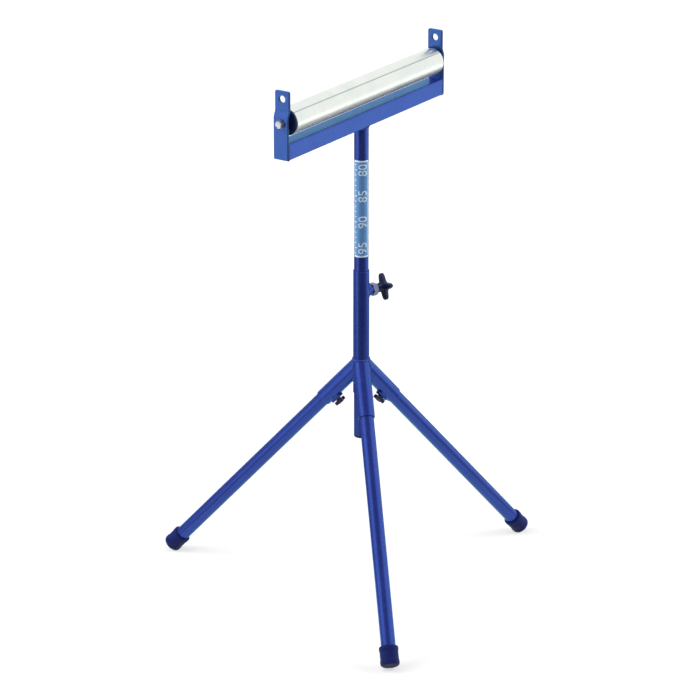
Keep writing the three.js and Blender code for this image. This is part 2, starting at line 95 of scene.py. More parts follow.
# Roller ends
BEARING_SEAT = 16.25 * MM
SEAT_EDGE = 0.3 * MM
HOUSING_LIP = 2.2 * MM
HOUSING_EDGE = 1.2 * MM
HOUSING_BACK_BORE = 0.4 * MM
HOUSING_BACK_EDGE = 0.6 * MM
HOUSING_SHOULDER_EDGE = 0.3 * MM
HOUSING_RIM = 0.8  # inner radius of the flange's raised rim, as a share of the flange
HOUSING_RIM_EDGE = 0.4 * MM
HOUSING_DISH = 0.6 * MM
HOUSING_DISH_EDGE = 0.2 * MM
SPACER_WALL = 2.2 * MM
SPACER_BORE = 6.25 * MM
SPACER_EDGE = 0.5 * MM
SPACER_FILLET = 0.8 * MM
DUST_DISC = 1.6 * MM
DUST_STEP = 0.5 * MM
DUST_DISC_BACK_EDGE = 0.3 * MM
DUST_DISC_EDGE = 0.5 * MM
AXLE_EDGE = 0.8 * MM
BOLT_RADIUS = 4 * MM
BOLT_TIP_EDGE = 0.8 * MM
BOLT_HEAD_ACROSS = 13 * MM
BOLT_HEAD_HEIGHT = 5.3 * MM
WASHER_BORE = 4.25 * MM
WASHER_EDGE = 0.3 * MM

# Hexagons: where the chamfer starts and the end face stops, as shares of half the width across flats
HEXAGON_CHAMFER = 0.985
HEXAGON_FACE = 0.96
HEXAGON_SLOPE = math.tan(math.radians(30))
HEXAGON_EDGE = 0.25 * MM

# Clamps
BOSS_RADIUS = 10 * MM
BOSS_FILLET = 3.5 * MM
BOSS_SWEEP = 2.975 * MM
BOSS_TOE = 0.4 * MM
BOSS_TOE_HEIGHT = 0.7 * MM
BOSS_EDGE = 0.6 * MM
COLUMN_NUT_ACROSS = 22 * MM
SCREW_PITCH = {"column": 2 * MM, "leg": 1.25 * MM}
THREAD_DEPTH = 0.6  # of the pitch, as the next two are
THREAD_CREST_START = 0.45
THREAD_CREST_END = 0.55
LEG_NUT_LENGTH = 28 * MM
LEG_NUT_WIDTH = 15 * MM
LEG_NUT_EDGE = 0.9 * MM
BORE_GAP = 0.25 * MM

# Star grips: turn is in degrees
STARS = {
    "column": {
        "valley": 12 * MM,
        "neck": 10 * MM,
        "neck_height": 14 * MM,
        "edge": 2.4 * MM,
        "turn": 71.5,
    },
    "leg": {
        "valley": 7 * MM,
        "neck": 6 * MM,
        "neck_height": 1.5 * MM,
        "edge": 1.2 * MM,
        "turn": 45,
    },
}
STAR_ARMS = 4
STAR_POINTEDNESS = 1.8
STAR_STEP = 0.5 * MM
STAR_WAIST = 0.94  # of the core's radius
STAR_WAIST_HEIGHTS = (0.35, 0.7)  # of the neck
STAR_UNDERSIDE = 0.8  # of the way from the arms' edge in to the core
STAR_TOPSIDE = 0.6
STAR_DISC = 1 * MM
STAR_DISC_FOOT = 0.3  # heights as shares of the raised disc
STAR_DISC_ARMS = 0.2
STAR_DISC_SHOULDER = 0.9
STAR_DISH = ((0.6, 0.9), (0.2, 0.6))  # shares of the core's radius and of the disc's height
SMALL_TURN = 0.001

# Rubber feet and column plug
FOOT_WALL = 4 * MM
FOOT_FLOOR = 5 * MM
FOOT_ROUND = 5 * MM
FOOT_BAND = 7 * MM
FOOT_SOLE = 10.5 * MM
FOOT_WAIST = 0.7 * MM
FOOT_MOUTH_BORE = 0.4 * MM
FOOT_MOUTH_EDGE = 1.4 * MM
PLUG_ROUND = 2.5 * MM
PLUG_FLANGE = 5 * MM
PLUG_FLANGE_EDGE = 0.3 * MM
PLUG_WALL = 2 * MM
PLUG_STEM_EDGE = 0.5 * MM

# Welds
HUB_BEAD = 2 * MM
COLLAR_HEIGHT = 7 * MM
COLLAR_REACH = 13 * MM
COLLAR_SIDE = 1.2 * MM
PLATE_BEAD = 1.6 * MM
PLATE_BEAD_SUNK = 0.96 * MM
BEAD_STEP = 0.8 * MM
BEAD_LEAST_STEPS = 24
BEAD_RIPPLE = 0.13
BEAD_WAVE = 2.9 * MM
BEAD_FACETS = 3

# Printed height scale on the inner column
SCALE_TOP = 842 * MM
SCALE_BOTTOM = 656 * MM
SCALE_HALF_WIDTH = 15.5 * MM
SCALE_FRAME = 3 * MM
SCALE_SIDE = 1.6 * MM
SCALE_GAP = 0.6 * MM
SCALE_LINE = 1.5 * MM
SCALE_TICK = 10 * MM
SCALE_NUMBERED = 5  # one tick in five has a number
SCALE_SHORT = 3.4 * MM
SCALE_LONG = 5 * MM
SCALE_DIGITS = 24 * MM
SCALE_DIGIT_SHIFT = 2.6 * MM
INK = 0.06 * MM
INK_FACET = 0.8 * MM
FIELD_LIFT = INK
MARK_LIFT = 2.2 * INK

# Facets and merging
ROUND = 96
ROUND_SMALL = 48
ROUND_STAR = 160
ROUND_HEXAGON = 72
ARC = 5
EDGE_SEGMENTS = 3
BEAM_SEGMENTS = 6
QUARTER = [math.pi / 2 * step / ARC for step in range(ARC + 1)]
GUARD = 2.5 * MM  # from an edge to the loop that keeps its wear narrow
LONG_RUN = 4 * GUARD
MERGE = 0.002 * MM
SHARP = math.radians(35)  # shaded as an edge
SOFTENED = math.radians(50)  # rounded as an edge


# Reading the frame
def reach(node, point, axis):
    """Where a node starts and ends along an axis from a point, and its largest radius about that axis."""
    offsets = [vertex.co - point for vertex in frame["nodes"][node].data.vertices]
    along_axis = [offset.dot(axis) for offset in offsets]
    radius = max((offset - axis * step).length for offset, step in zip(offsets, along_axis))
    return min(along_axis), max(along_axis), radius


def middle(node):
    low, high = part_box(node)
    return (low + high) / 2


def aim(point, axis, side):
    """A place whose Z runs along axis and whose X leans to side."""
    z = axis.normalized()
    y = z.cross(side).normalized()
    x = y.cross(z)
    turn = Matrix((x, y, z)).transposed().to_4x4()
    return Matrix.Translation(point) @ turn


def along(node, place):
    """A node's reach along a place's Z."""
    return reach(node, place.translation, place.to_3x3().col[2])


column_axis = middle("inner_column")
column_axis.z = 0
roller_middle = middle("roller_tube")
leg_axes = {leg: Vector(JOINTS[f"leg_draw_{leg}"]["axis"]).normalized() for leg in LEGS}


def hub_point():
    """Where a leg's axis meets the column's axis."""
    point = middle("leg_tube_front")
    axis = leg_axes["front"]
    flat = Vector((axis.x, axis.y, 0))
    return point + axis * ((column_axis - point).dot(flat) / flat.length_squared)


hub = hub_point()
outer_radius = reach("outer_column", column_axis, UP)[2]
inner_radius = reach("inner_column", column_axis, UP)[2]


# Mesh tools
def guarded(points):
    """The same profile with a point close to each end of its long straight runs."""
    kept = [points[0]]
    for start, end in zip(points, points[1:]):
        run = end - start
        if run.length > LONG_RUN:
            inset = run.normalized() * GUARD
            kept += [start + inset, end - inset]
        kept.append(end)
    return kept


def rounded(corners):
    """Profile points from (radius, height, round) corners, with each round as an arc."""
    points = []
    for index, (x, y, size) in enumerate(corners):
        here = Vector((x, y))
        if size == 0:
            points.append(here)
            continue
        before = (Vector(corners[index - 1][:2]) - here).normalized()
        after = (Vector(corners[(index + 1) % len(corners)][:2]) - here).normalized()
        half = before.angle(after) / 2
        centre = here + (before + after).normalized() * (size / math.sin(half))
        start = here + before * (size / math.tan(half)) - centre
        end = here + after * (size / math.tan(half)) - centre
        points += [centre + start.slerp(end, step / ARC) * size for step in range(ARC + 1)]
    return points


def mend(shape):
    bmesh.ops.remove_doubles(shape, verts=shape.verts, dist=MERGE)
    bmesh.ops.recalc_face_normals(shape, faces=shape.faces)
    return shape


def turned(profile, steps=ROUND, ring=True):
    """A shape turned round Z from profile points of radius and height, closed on itself or on the axis."""
    shape = bmesh.new()
    points = [shape.verts.new((radius, 0, height)) for radius, height in profile]
    following = points[1:] + points[:1] if ring else points[1:]
    lines = [shape.edges.new(pair) for pair in zip(points, following)]
    bmesh.ops.spin(
        shape,
        geom=points + lines,
        cent=(0, 0, 0),
        axis=UP,
        dvec=(0, 0, 0),
        angle=math.tau,
        steps=steps,
        use_merge=True,
    )
    return mend(shape)


def tube(start, end, radius, wall, lip, steps=ROUND):
    bore = radius - wall
    corners = [(bore, start), (radius, start), (radius, end), (bore, end)]
    return turned(guarded(rounded([(*corner, lip) for corner in corners])), steps)


def lofted(rings, count, ring=False):
    """Skins rings, each a rule from angle to a point, with flat caps or closed on itself."""
    shape = bmesh.new()
    loops = []
    for rule in rings:
        made = bmesh.ops.create_circle(shape, segments=count, radius=1)["verts"]
        for vertex in made:
            vertex.co = rule(math.atan2(vertex.co.y, vertex.co.x))
        loops.append({edge for vertex in made for edge in vertex.link_edges})
    following = loops[1:] + loops[:1] if ring else loops[1:]
    for lower, upper in zip(loops, following):
        bmesh.ops.bridge_loops(shape, edges=list(lower | upper))
    if not ring:
        bmesh.ops.edgeloop_fill(shape, edges=list(loops[0]))
        bmesh.ops.edgeloop_fill(shape, edges=list(loops[-1]))
    return mend(shape)


def circle(radius, height):
    return lambda angle: (radius * math.cos(angle), radius * math.sin(angle), height)


def round_edges(shape, edges, width, segments):
    bmesh.ops.bevel(
        shape,
        geom=edges,
        offset=width,
        offset_type="OFFSET",
        segments=segments,
        profile=0.5,
        affect="EDGES",
        clamp_overlap=True,
        material=-1,
    )


def soften(shape, width):
    """Rounds every sharp edge."""
    shape.normal_update()
    edges = [edge for edge in shape.edges if edge.is_manifold and edge.calc_face_angle() > SOFTENED]
    round_edges(shape, edges, width, EDGE_SEGMENTS)
    return shape


def cut_across(shape, point, axis, below=math.inf):
    """Adds a loop where a plane across X, Y or Z cuts the faces that lie below a height."""
    faces = [face for face in shape.faces if face.calc_center_median().z < below]
    edges = {edge for face in faces for edge in face.edges}
    points = {vertex for face in faces for vertex in face.verts}
    normal = Matrix.Identity(3).col[axis]
    bmesh.ops.bisect_plane(shape, geom=[*points, *edges, *faces], plane_co=point, plane_no=normal)


def thickened(shape, facing, thickness):
    """Turns an open sheet's faces to a direction and gives it a thickness."""
    bmesh.ops.recalc_face_normals(shape, faces=shape.faces)
    if shape.faces[:][0].normal.dot(facing) < 0:
        bmesh.ops.reverse_faces(shape, faces=shape.faces)
    bmesh.ops.solidify(shape, geom=shape.faces[:], thickness=thickness)
    return shape


def placed(shape, place):
    bmesh.ops.transform(shape, matrix=place, verts=shape.verts)
    return shape


def seated(shape, bar_radius, height):
    """Lets the foot of a boss, from 0 to height, follow the round bar along X that it stands on."""
    for vertex in shape.verts:
        share = max(0, 1 - vertex.co.z / height)
        fall = bar_radius - math.sqrt(bar_radius**2 - vertex.co.y**2)
        vertex.co.z += bar_radius - fall * share
    return shape


def take_in(shape, mesh):
    """Moves a mesh into a shape."""
    shape.from_mesh(mesh)
    bpy.data.meshes.remove(mesh)
    return shape


def mesh_of(line):
    """A curve or a text as a mesh."""
    holder = bpy.data.objects.new(line.name, line)
    mesh = bpy.data.meshes.new_from_object(holder)
    bpy.data.objects.remove(holder)
    bpy.data.curves.remove(line)
    return mesh


def add(name, shape, finish, body, stands_for=()):
    """Makes a shape a finished piece that moves with a body."""
    mesh = bpy.data.meshes.new(name)
    shape.to_mesh(mesh)
    shape.free()
    mesh.polygons.foreach_set("use_smooth", [True] * len(mesh.polygons))
    mesh.set_sharp_from_angle(angle=SHARP)
    mesh.materials.append(finish)
    piece = bpy.data.objects.new(name, mesh)
    bpy.context.scene.collection.objects.link(piece)
    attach(piece, body)
    if stands_for:
        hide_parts(*stands_for)
    return piece


# Material tools
def wire(tree, kind, values=None, **settings):
    """Adds a node; values gives its inputs, as numbers or as another node's output."""
    made = tree.nodes.new(kind)
    for setting, value in settings.items():
        setattr(made, setting, value)
    for socket, value in (values or {}).items():
        if isinstance(value, bpy.types.NodeSocket):
            tree.links.new(value, made.inputs[socket])
        else:
            made.inputs[socket].default_value = value
    return made


def new_finish(name, metallic, specular=0.5):
    finish = bpy.data.materials.new(name)
    finish.use_nodes = True
    tree = finish.node_tree
    shader = tree.nodes["Principled BSDF"]
    shader.inputs["Metallic"].default_value = metallic
    shader.inputs["Specular IOR Level"].default_value = specular
    place = wire(tree, "ShaderNodeTexCoord").outputs["Object"]
    return finish, tree, shader, place


def connect(tree, shader, **sockets):
    for socket, value in sockets.items():
        tree.links.new(value, shader.inputs[socket.replace("_", " ")])


def calculated(tree, operation, *values):
    return wire(tree, "ShaderNodeMath", dict(enumerate(values)), operation=operation).outputs[0]


def dot(tree, first, second):
    made = wire(tree, "ShaderNodeVectorMath", {0: first, 1: second}, operation="DOT_PRODUCT")
    return made.outputs["Value"]


def noise(tree, place, cells, detail):
    """Noise with a number of cells a metre."""
    values = {"Vector": place, "Scale": cells, "Detail": detail}
    return wire(tree, "ShaderNodeTexNoise", values).outputs["Fac"]


def streaks(tree, place, cells, detail):
    """Noise with its own number of cells a metre along each axis."""
    stretched = wire(tree, "ShaderNodeMapping", {"Vector": place, "Scale": cells}).outputs["Vector"]
    return noise(tree, stretched, 1, detail)


def ramp(tree, factor, low, high, start=0.3, end=0.7):
    """A colour that runs from low to high as the factor runs from start to end."""
    made = wire(tree, "ShaderNodeValToRGB", {"Fac": factor})
    stops = made.color_ramp.elements
    stops[0].position = start
    stops[0].color = (*low, 1)
    stops[1].position = end
    stops[1].color = (*high, 1)
    return made.outputs["Color"]


def spread(tree, factor, low, high, start=0.3, end=0.7):
    """A number that runs from low to high as the factor runs from start to end."""
    values = {"Value": factor, "From Min": start, "From Max": end, "To Min": low, "To Max": high}
    return wire(tree, "ShaderNodeMapRange", values).outputs["Result"]


def blend(tree, factor, first, colour):
    """The first colour, with another one over it where the factor is 1."""
    made = wire(tree, "ShaderNodeMix", {0: factor, 6: first, 7: (*colour, 1)}, data_type="RGBA")
    return made.outputs[2]


def bump(tree, height, depth, strength):
    values = {"Height": height, "Distance": depth, "Strength": strength}
    return wire(tree, "ShaderNodeBump", values).outputs["Normal"]


def uneven_gloss(tree, factor, roughness):
    return spread(tree, factor, low=roughness - 0.07, high=roughness + 0.08)


def edge_wear(tree, place, start, end):
    """One on rubbed convex edges, broken up by a fine noise."""
    edge = wire(tree, "ShaderNodeNewGeometry").outputs["Pointiness"]
    rubbed = spread(tree, edge, low=0, high=1, start=start, end=end)
    fine = noise(tree, place, cells=160, detail=4)
    patches = spread(tree, fine, low=0, high=1, start=0.42, end=0.62)
    return calculated(tree, "MULTIPLY", rubbed, patches)


# Finishes
COAT_METALLIC = 0.55
COAT_SPECULAR = 0.6
COAT_SHEEN = (0.33, 0.95, 0.8)
COAT_WORN = (0.10, 0.17, 0.42)
COAT_RUBBED = (0.06, 0.11, 0.42)
COAT_RUB_CELLS = (420, 420, 7)  # fine lines up the tube
STEEL_DARK = (0.80, 0.86, 0.82)
STEEL_LIGHT = (0.90, 0.92, 0.87)
STEEL_BAND = (0.76, 0.78, 0.775)
# Tone of the painted reflection streak along the roller
STEEL_PAINTED_REFLECTION = (0.44, 0.50, 0.49)
STEEL_LINE_CELLS = (6, 900, 900)  # fine lines along the roller
STEEL_BAND_CELLS = (140, 3, 3)  # bands round the roller
ZINC_EDGE = 0.7  # of the dark tone
PLASTIC_GRAIN = {"cells": 1500, "depth": 0.05 * MM}
RUBBER_GRAIN = {"cells": 900, "depth": 0.1 * MM}
FLOOR_DUST = (0.13, 0.125, 0.115)
FLOOR_DUST_SHARE = 0.5
FLOOR_DUST_HEIGHT = 22 * MM


def blue_powder_coat(name, dark, light, rubbed=False):
    """Glossy blue coat with a fine orange peel, slow tone changes and worn edges, or rubbed lines too."""
    finish, tree, shader, place = new_finish(name, COAT_METALLIC, COAT_SPECULAR)
    shader.inputs["Specular Tint"].default_value = (*COAT_SHEEN, 1)
    tone = ramp(tree, noise(tree, place, cells=11, detail=3), dark, light)
    worn = blend(tree, edge_wear(tree, place, start=0.53, end=0.62), tone, COAT_WORN)
    gloss = spread(tree, noise(tree, place, cells=70, detail=3), low=0.24, high=0.30)
    peel = bump(tree, noise(tree, place, cells=620, detail=2), depth=0.03 * MM, strength=0.25)
    if rubbed:
        lines = streaks(tree, place, COAT_RUB_CELLS, detail=3)
        gloss = spread(tree, lines, low=0.22, high=0.34)
        bare = spread(tree, lines, low=0, high=0.2, start=0.58, end=0.75)
        worn = blend(tree, bare, worn, COAT_RUBBED)
    connect(tree, shader, Base_Color=worn, Roughness=gloss, Normal=peel)
    return finish


def tube_seam(tree, place):
    """One on a narrow line along the roller, where a painted dark reflection streak stands in for a
    reflected gap between lamps.
    """
    away = Vector((0, -math.sin(REFLECTION_STREAK_ANGLE), math.cos(REFLECTION_STREAK_ANGLE)))
    beside = Vector((0, away.z, -away.y))
    values = {0: place, 1: roller_middle}
    centred = wire(tree, "ShaderNodeVectorMath", values, operation="SUBTRACT").outputs[0]
    aside = calculated(tree, "ABSOLUTE", dot(tree, centred, beside))
    line = spread(tree, aside, low=1, high=0, start=REFLECTION_STREAK_CORE, end=REFLECTION_STREAK_HALF)
    near_side = spread(tree, dot(tree, centred, away), low=0, high=1, start=0, end=MM)
    return calculated(tree, "MULTIPLY", line, near_side)


def bright_roller_steel():
    """Bright satin tube: faint lines along its length, a cloudy tone, rubbed bands and a painted dark
    reflection streak along it.
    """
    finish, tree, shader, place = new_finish("bright_roller_steel", metallic=1)
    drawn = streaks(tree, place, STEEL_LINE_CELLS, detail=3)
    tone = ramp(tree, noise(tree, place, cells=26, detail=4), STEEL_DARK, STEEL_LIGHT)
    bands = streaks(tree, place, STEEL_BAND_CELLS, detail=2)
    banded = blend(tree, spread(tree, bands, low=0, high=0.3, start=0.56, end=0.74), tone, STEEL_BAND)
    # A darker line along the roller: a painted reflection of a gap between lamps
    streak_painted = blend(tree, tube_seam(tree, place), banded, STEEL_PAINTED_REFLECTION)
    gloss = spread(tree, drawn, low=0.30, high=0.42)
    lines = bump(tree, drawn, depth=0.02 * MM, strength=0.35)
    connect(tree, shader, Base_Color=streak_painted, Roughness=gloss, Normal=lines)
    return finish


def zinc_plate(name, light, dark, roughness):
    """Plated steel with a mottled crystalline tone and duller edges."""
    finish, tree, shader, place = new_finish(name, metallic=1)
    mottle = noise(tree, place, cells=420, detail=4)
    tone = ramp(tree, mottle, dark, light)
    dull = [ZINC_EDGE * channel for channel in dark]
    worn = blend(tree, edge_wear(tree, place, start=0.55, end=0.68), tone, dull)
    gloss = uneven_gloss(tree, mottle, roughness)
    grain = bump(tree, noise(tree, place, cells=1900, detail=2), depth=0.03 * MM, strength=0.4)
    connect(tree, shader, Base_Color=worn, Roughness=gloss, Normal=grain)
    return finish


def dusted(tree, place, clean):
    """A colour with patches of floor dust towards the ground."""
    height = wire(tree, "ShaderNodeSeparateXYZ", {0: place}).outputs["Z"]
    low = spread(tree, height, low=FLOOR_DUST_SHARE, high=0, start=0, end=FLOOR_DUST_HEIGHT)
    patches = spread(tree, noise(tree, place, cells=210, detail=5), low=0, high=1, start=0.45, end=0.7)
    return blend(tree, calculated(tree, "MULTIPLY", low, patches), clean, FLOOR_DUST)


def moulded(name, light, dark, edge, roughness, grain, specular, dusty=False):
    """Moulded plastic or rubber: fine grain, uneven gloss, edges rubbed paler, and dust on a foot."""
    finish, tree, shader, place = new_finish(name, metallic=0, specular=specular)
    tone = ramp(tree, noise(tree, place, cells=90, detail=4), dark, light)
    worn = blend(tree, edge_wear(tree, place, start=0.54, end=0.66), tone, edge)
    gloss = uneven_gloss(tree, noise(tree, place, cells=240, detail=3), roughness)
    pores = noise(tree, place, grain["cells"], detail=3)
    pitted = bump(tree, pores, grain["depth"], strength=0.6)
    if dusty:
        worn = dusted(tree, place, worn)
    connect(tree, shader, Base_Color=worn, Roughness=gloss, Normal=pitted)
    return finish


def printing_ink(name, dark, light):
    """Printing ink, a little worn through."""
    finish, tree, shader, place = new_finish(name, metallic=0, specular=0.4)
    tone = ramp(tree, noise(tree, place, cells=700, detail=4), dark, light, end=0.5)
    gloss = spread(tree, noise(tree, place, cells=300, detail=2), low=0.38, high=0.55)
    connect(tree, shader, Base_Color=tone, Roughness=gloss)
    return finish


BLUE_DARK = (0.034, 0.056, 0.35)
BLUE_LIGHT = (0.040, 0.066, 0.39)
BLUE = blue_powder_coat("blue_powder_coat", BLUE_DARK, BLUE_LIGHT)
BLUE_RUBBED = blue_powder_coat("blue_powder_coat_rubbed", BLUE_DARK, BLUE_LIGHT, rubbed=True)
# A lighter copy of the coat for the end plates: painted light, not a different paint
BLUE_PAINTED_LIGHT = blue_powder_coat("blue_powder_coat_painted_light", (0.043, 0.092, 0.37), (0.050, 0.108, 0.41))
# A darker copy of the coat for the plates' cut edges: painted shade, not a different paint
BLUE_PAINTED_SHADE = blue_powder_coat("blue_powder_coat_painted_shade", (0.010, 0.022, 0.13), (0.014, 0.030, 0.17))
ROLLER_STEEL = bright_roller_steel()
ZINC = zinc_plate("zinc_plate", (0.66, 0.69, 0.72), (0.50, 0.53, 0.56), 0.26)
NUT_ZINC = zinc_plate("blue_zinc_plate", (0.26, 0.29, 0.44), (0.155, 0.175, 0.29), 0.32)
GROUND_STEEL = zinc_plate("ground_steel", (0.55, 0.56, 0.57), (0.42, 0.43, 0.44), 0.30)
BLACK_PLASTIC = moulded(
    "black_plastic",
    light=(0.010, 0.016, 0.066),
    dark=(0.006, 0.010, 0.044),
    edge=(0.028, 0.035, 0.07),
    roughness=0.34,
    grain=PLASTIC_GRAIN,
    specular=0.35,
)
# Black plastic tinted blue and lightened: a painted reflection of the blue end plates beside the roller's
# end caps and spacers
HOUSING_PLASTIC_PAINTED_REFLECTION = moulded(
    "housing_plastic_painted_reflection",
    light=(0.016, 0.034, 0.14),
    dark=(0.011, 0.025, 0.10),
    edge=(0.035, 0.05, 0.13),
    roughness=0.36,
    grain=PLASTIC_GRAIN,
    specular=0.35,
)
RUBBER = moulded(
    "foot_rubber",
    light=(0.008, 0.015, 0.115),
    dark=(0.005, 0.010, 0.080),
    edge=(0.02, 0.03, 0.13),
    roughness=0.55,
    grain=RUBBER_GRAIN,
    specular=0.2,
    dusty=True,
)
INK_WHITE = printing_ink("scale_ink", (0.56, 0.76, 0.94), (0.70, 0.87, 0.98))
FIELD_BLUE = printing_ink("scale_field", (0.09, 0.24, 0.50), (0.126, 0.30, 0.60))


# Welds
def bead(path, size):
    """A rippled weld bead along a closed path."""
    lengths = [(end - start).length for start, end in zip(path, path[1:] + path[:1])]
    line = bpy.data.curves.new("bead", "CURVE")
    line.dimensions = "3D"
    line.bevel_depth = size
    line.bevel_resolution = BEAD_FACETS
    spline = line.splines.new("POLY")
    spline.points.add(len(path) - 1)
    spline.use_cyclic_u = True
    waves = max(1, round(sum(lengths) / BEAD_WAVE))
    run = 0
    for point, place, length in zip(spline.points, path, lengths):
        point.co = (*place, 1)
        point.radius = 1 + BEAD_RIPPLE * math.sin(math.tau * waves * run / sum(lengths))
        run += length
    return mend(take_in(bmesh.new(), mesh_of(line)))


def walked(rule, length):
    """Points of a closed path, where rule takes a share of the way round."""
    count = max(BEAD_LEAST_STEPS, round(length / BEAD_STEP))
    return [Vector(rule(index / count)) for index in range(count)]


# Tripod hub: outer tube, leg sockets and their welds
def add_outer_tube():
    start, end, radius = reach("outer_column", column_axis, UP)
    shape = placed(tube(start, end, radius, OUTER_WALL, TUBE_LIP), Matrix.Translation(column_axis))
    add("outer_tube", shape, BLUE, "base", ["outer_column"])


def saddle(x, y, axis):
    """Distance from the hub, along a leg, to the column or to the socket beside it."""
    out = math.sqrt(1 - axis.z**2)
    edge = max(math.sqrt(max(0, outer_radius**2 - y * y)), abs(y) / math.tan(math.pi / len(LEGS)))
    return (edge - x * axis.z) / out


def leg_place(leg):
    """The hub's place for a leg: Z down the leg, X to its underside."""
    return aim(hub, leg_axes[leg], -UP)


def add_socket(leg):
    axis = leg_axes[leg]
    end, radius = reach(f"leg_socket_{leg}", hub, axis)[1:]
    bore = radius - SOCKET_WALL
    guards = [(radius, GUARD, 0), (radius, end - 2 * GUARD, 0)]
    corners = [(bore, 0, 0), (radius, 0, 0), *guards, (radius, end, SOCKET_LIP), (bore, end, SOCKET_LIP)]
    shape = turned(rounded(corners))
    for vertex in shape.verts:
        if vertex.co.z < 2 * GUARD:
            vertex.co.z += saddle(vertex.co.x, vertex.co.y, axis)
    add(f"socket_{leg}", placed(shape, leg_place(leg)), BLUE, "base", [f"leg_socket_{leg}"])


def add_hub_weld(leg):
    """A bead round a socket's saddle, kept out of the outer tube's bore."""
    axis = leg_axes[leg]
    radius = reach(f"leg_socket_{leg}", hub, axis)[2]

    def seam(share):
        x = radius * math.cos(math.tau * share)
        y = radius * math.sin(math.tau * share)
        return leg_place(leg) @ Vector((x, y, saddle(x, y, axis)))

    weld = bead(walked(seam, math.tau * radius), HUB_BEAD)
    within_wall = outer_radius - OUTER_WALL / 2
    for vertex in weld.verts:
        off_axis = (vertex.co - column_axis) * Vector((1, 1, 0))
        vertex.co += off_axis * max(0, within_wall / off_axis.length - 1)
    add(f"hub_weld_{leg}", weld, BLUE, "base")


# Legs and feet
def foot(leg, leg_end):
    """A rubber ferrule with a raised band at its mouth and a thicker sole, flat where it stands."""
    mouth, _, radius = reach(f"foot_cap_{leg}", hub, leg_axes[leg])
    end = leg_end + FOOT_FLOOR
    bore = radius - FOOT_WALL
    waist = radius - FOOT_WAIST
    band = mouth + FOOT_BAND
    sole = end - FOOT_SOLE
    soft = FOOT_WAIST / 3
    corners = [
        (0, leg_end, 0),
        (bore, leg_end, 0),
        (bore, mouth, FOOT_MOUTH_BORE),
        (radius, mouth, FOOT_MOUTH_EDGE),
        (radius, band, soft),
        (waist, band + FOOT_WAIST, soft),
        (waist, sole, soft),
        (radius, sole + FOOT_WAIST, soft),
        (radius, end, FOOT_ROUND),
        (0, end, 0),
    ]
    shape = placed(turned(guarded(rounded(corners)), ring=False), leg_place(leg))
    for vertex in shape.verts:
        vertex.co.z = max(0, vertex.co.z)
    return shape


def add_leg(leg):
    start, end, radius = reach(f"leg_tube_{leg}", hub, leg_axes[leg])
    shape = placed(tube(start, end, radius, LEG_WALL, TUBE_LIP), leg_place(leg))
    body = f"leg_{leg}"
    add(f"leg_pipe_{leg}", shape, BLUE, body, [f"leg_tube_{leg}"])
    add(f"rubber_foot_{leg}", foot(leg, end), RUBBER, body, [f"foot_cap_{leg}"])


# Clamp screws
def clamp_place(joint, tube_axis):
    """A screw's place: Z out along the screw, X along the tube that it clamps."""
    turn = JOINTS[f"{joint}_turn"]
    return aim(Vector(turn["pos_m"]), Vector(turn["axis"]).normalized(), tube_axis)


def hexagonal(across, low, high, bore, place):
    """A chamfered hexagon with a bore, or with a closed face where the bore is 0."""
    flat = across / 2
    sixth = math.pi / 3

    def side(height, lean):
        def point(angle):
            size = flat / math.cos((angle + sixth / 2) % sixth - sixth / 2)
            drop = (size - flat * HEXAGON_CHAMFER) * HEXAGON_SLOPE * lean
            return (size * math.cos(angle), size * math.sin(angle), height + drop)

        return point

    face = flat * HEXAGON_FACE
    rings = [circle(face, low), side(low, 1), side(high, -1), circle(face, high)]
    if bore:
        rings = [circle(bore, low), *rings, circle(bore, high)]
    shape = lofted(rings, ROUND_HEXAGON, ring=bool(bore))
    return placed(soften(shape, HEXAGON_EDGE), place)


def threaded(radius, start, end, pitch, place):
    """A stud with thread ridges and plain ends."""
    core = radius - THREAD_DEPTH * pitch
    points = [(0, start), (core, start)]
    for turn in range(int((end - start) / pitch) - 1):
        ridge = start + pitch * (turn + 0.5)
        crest = [(radius, ridge + pitch * share) for share in (THREAD_CREST_START, THREAD_CREST_END)]
        points += [(core, ridge), *crest]
    points += [(core, end - pitch / 2), (core, end), (0, end)]
    return placed(turned(points, ROUND_SMALL, ring=False), place)


def star_grip(star, start, end, tip, bore, place):
    """A four-armed grip on a round neck, with rounded edges and a raised disc on top."""
    valley, neck, edge = star["valley"], star["neck"], star["edge"]
    core = min(neck, valley - edge) - STAR_STEP
    low = start + star["neck_height"]
    high = end - STAR_DISC
    turn = math.radians(star["turn"])

    def outline(angle):
        lobe = 0.5 + 0.5 * math.cos(STAR_ARMS * (angle - turn))
        size = valley + (tip - valley) * lobe**STAR_POINTEDNESS
        return Vector((size * math.cos(angle), size * math.sin(angle)))

    def inset(depth, height):
        def point(angle):
            here = outline(angle)
            ahead = (outline(angle + SMALL_TURN) - outline(angle - SMALL_TURN)).normalized()
            return (here.x - ahead.y * depth, here.y + ahead.x * depth, height)

        return point

    def crown(share, height):
        def point(angle):
            flat = Vector(inset(edge, 0)(angle)[:2]).lerp(Vector(circle(core, 0)(angle)[:2]), share)
            return (flat.x, flat.y, height)

        return point

    def disc(radius, share):
        return circle(radius, high + STAR_DISC * share)

    stem = [circle(bore, start), circle(neck - STAR_STEP, start), circle(neck, start + STAR_STEP)]
    stem += [circle(core * STAR_WAIST, start + (low - start) * share) for share in STAR_WAIST_HEIGHTS]
    stem += [circle(core, low - STAR_STEP), crown(STAR_UNDERSIDE, low)]
    lower = [inset(edge * (1 - math.sin(a)), low + edge * (1 - math.cos(a))) for a in QUARTER]
    upper = [inset(edge * (1 - math.cos(a)), high - edge * (1 - math.sin(a))) for a in QUARTER]
    top = [crown(STAR_TOPSIDE, high + STAR_DISC * STAR_DISC_ARMS), disc(core, STAR_DISC_FOOT)]
    top += [disc(core - STAR_STEP, STAR_DISC_SHOULDER), disc(core - 2 * STAR_STEP, 1)]
    top += [disc(core * radius_share, height_share) for radius_share, height_share in STAR_DISH]
    return placed(lofted(stem + lower + upper + top, ROUND_STAR), place)


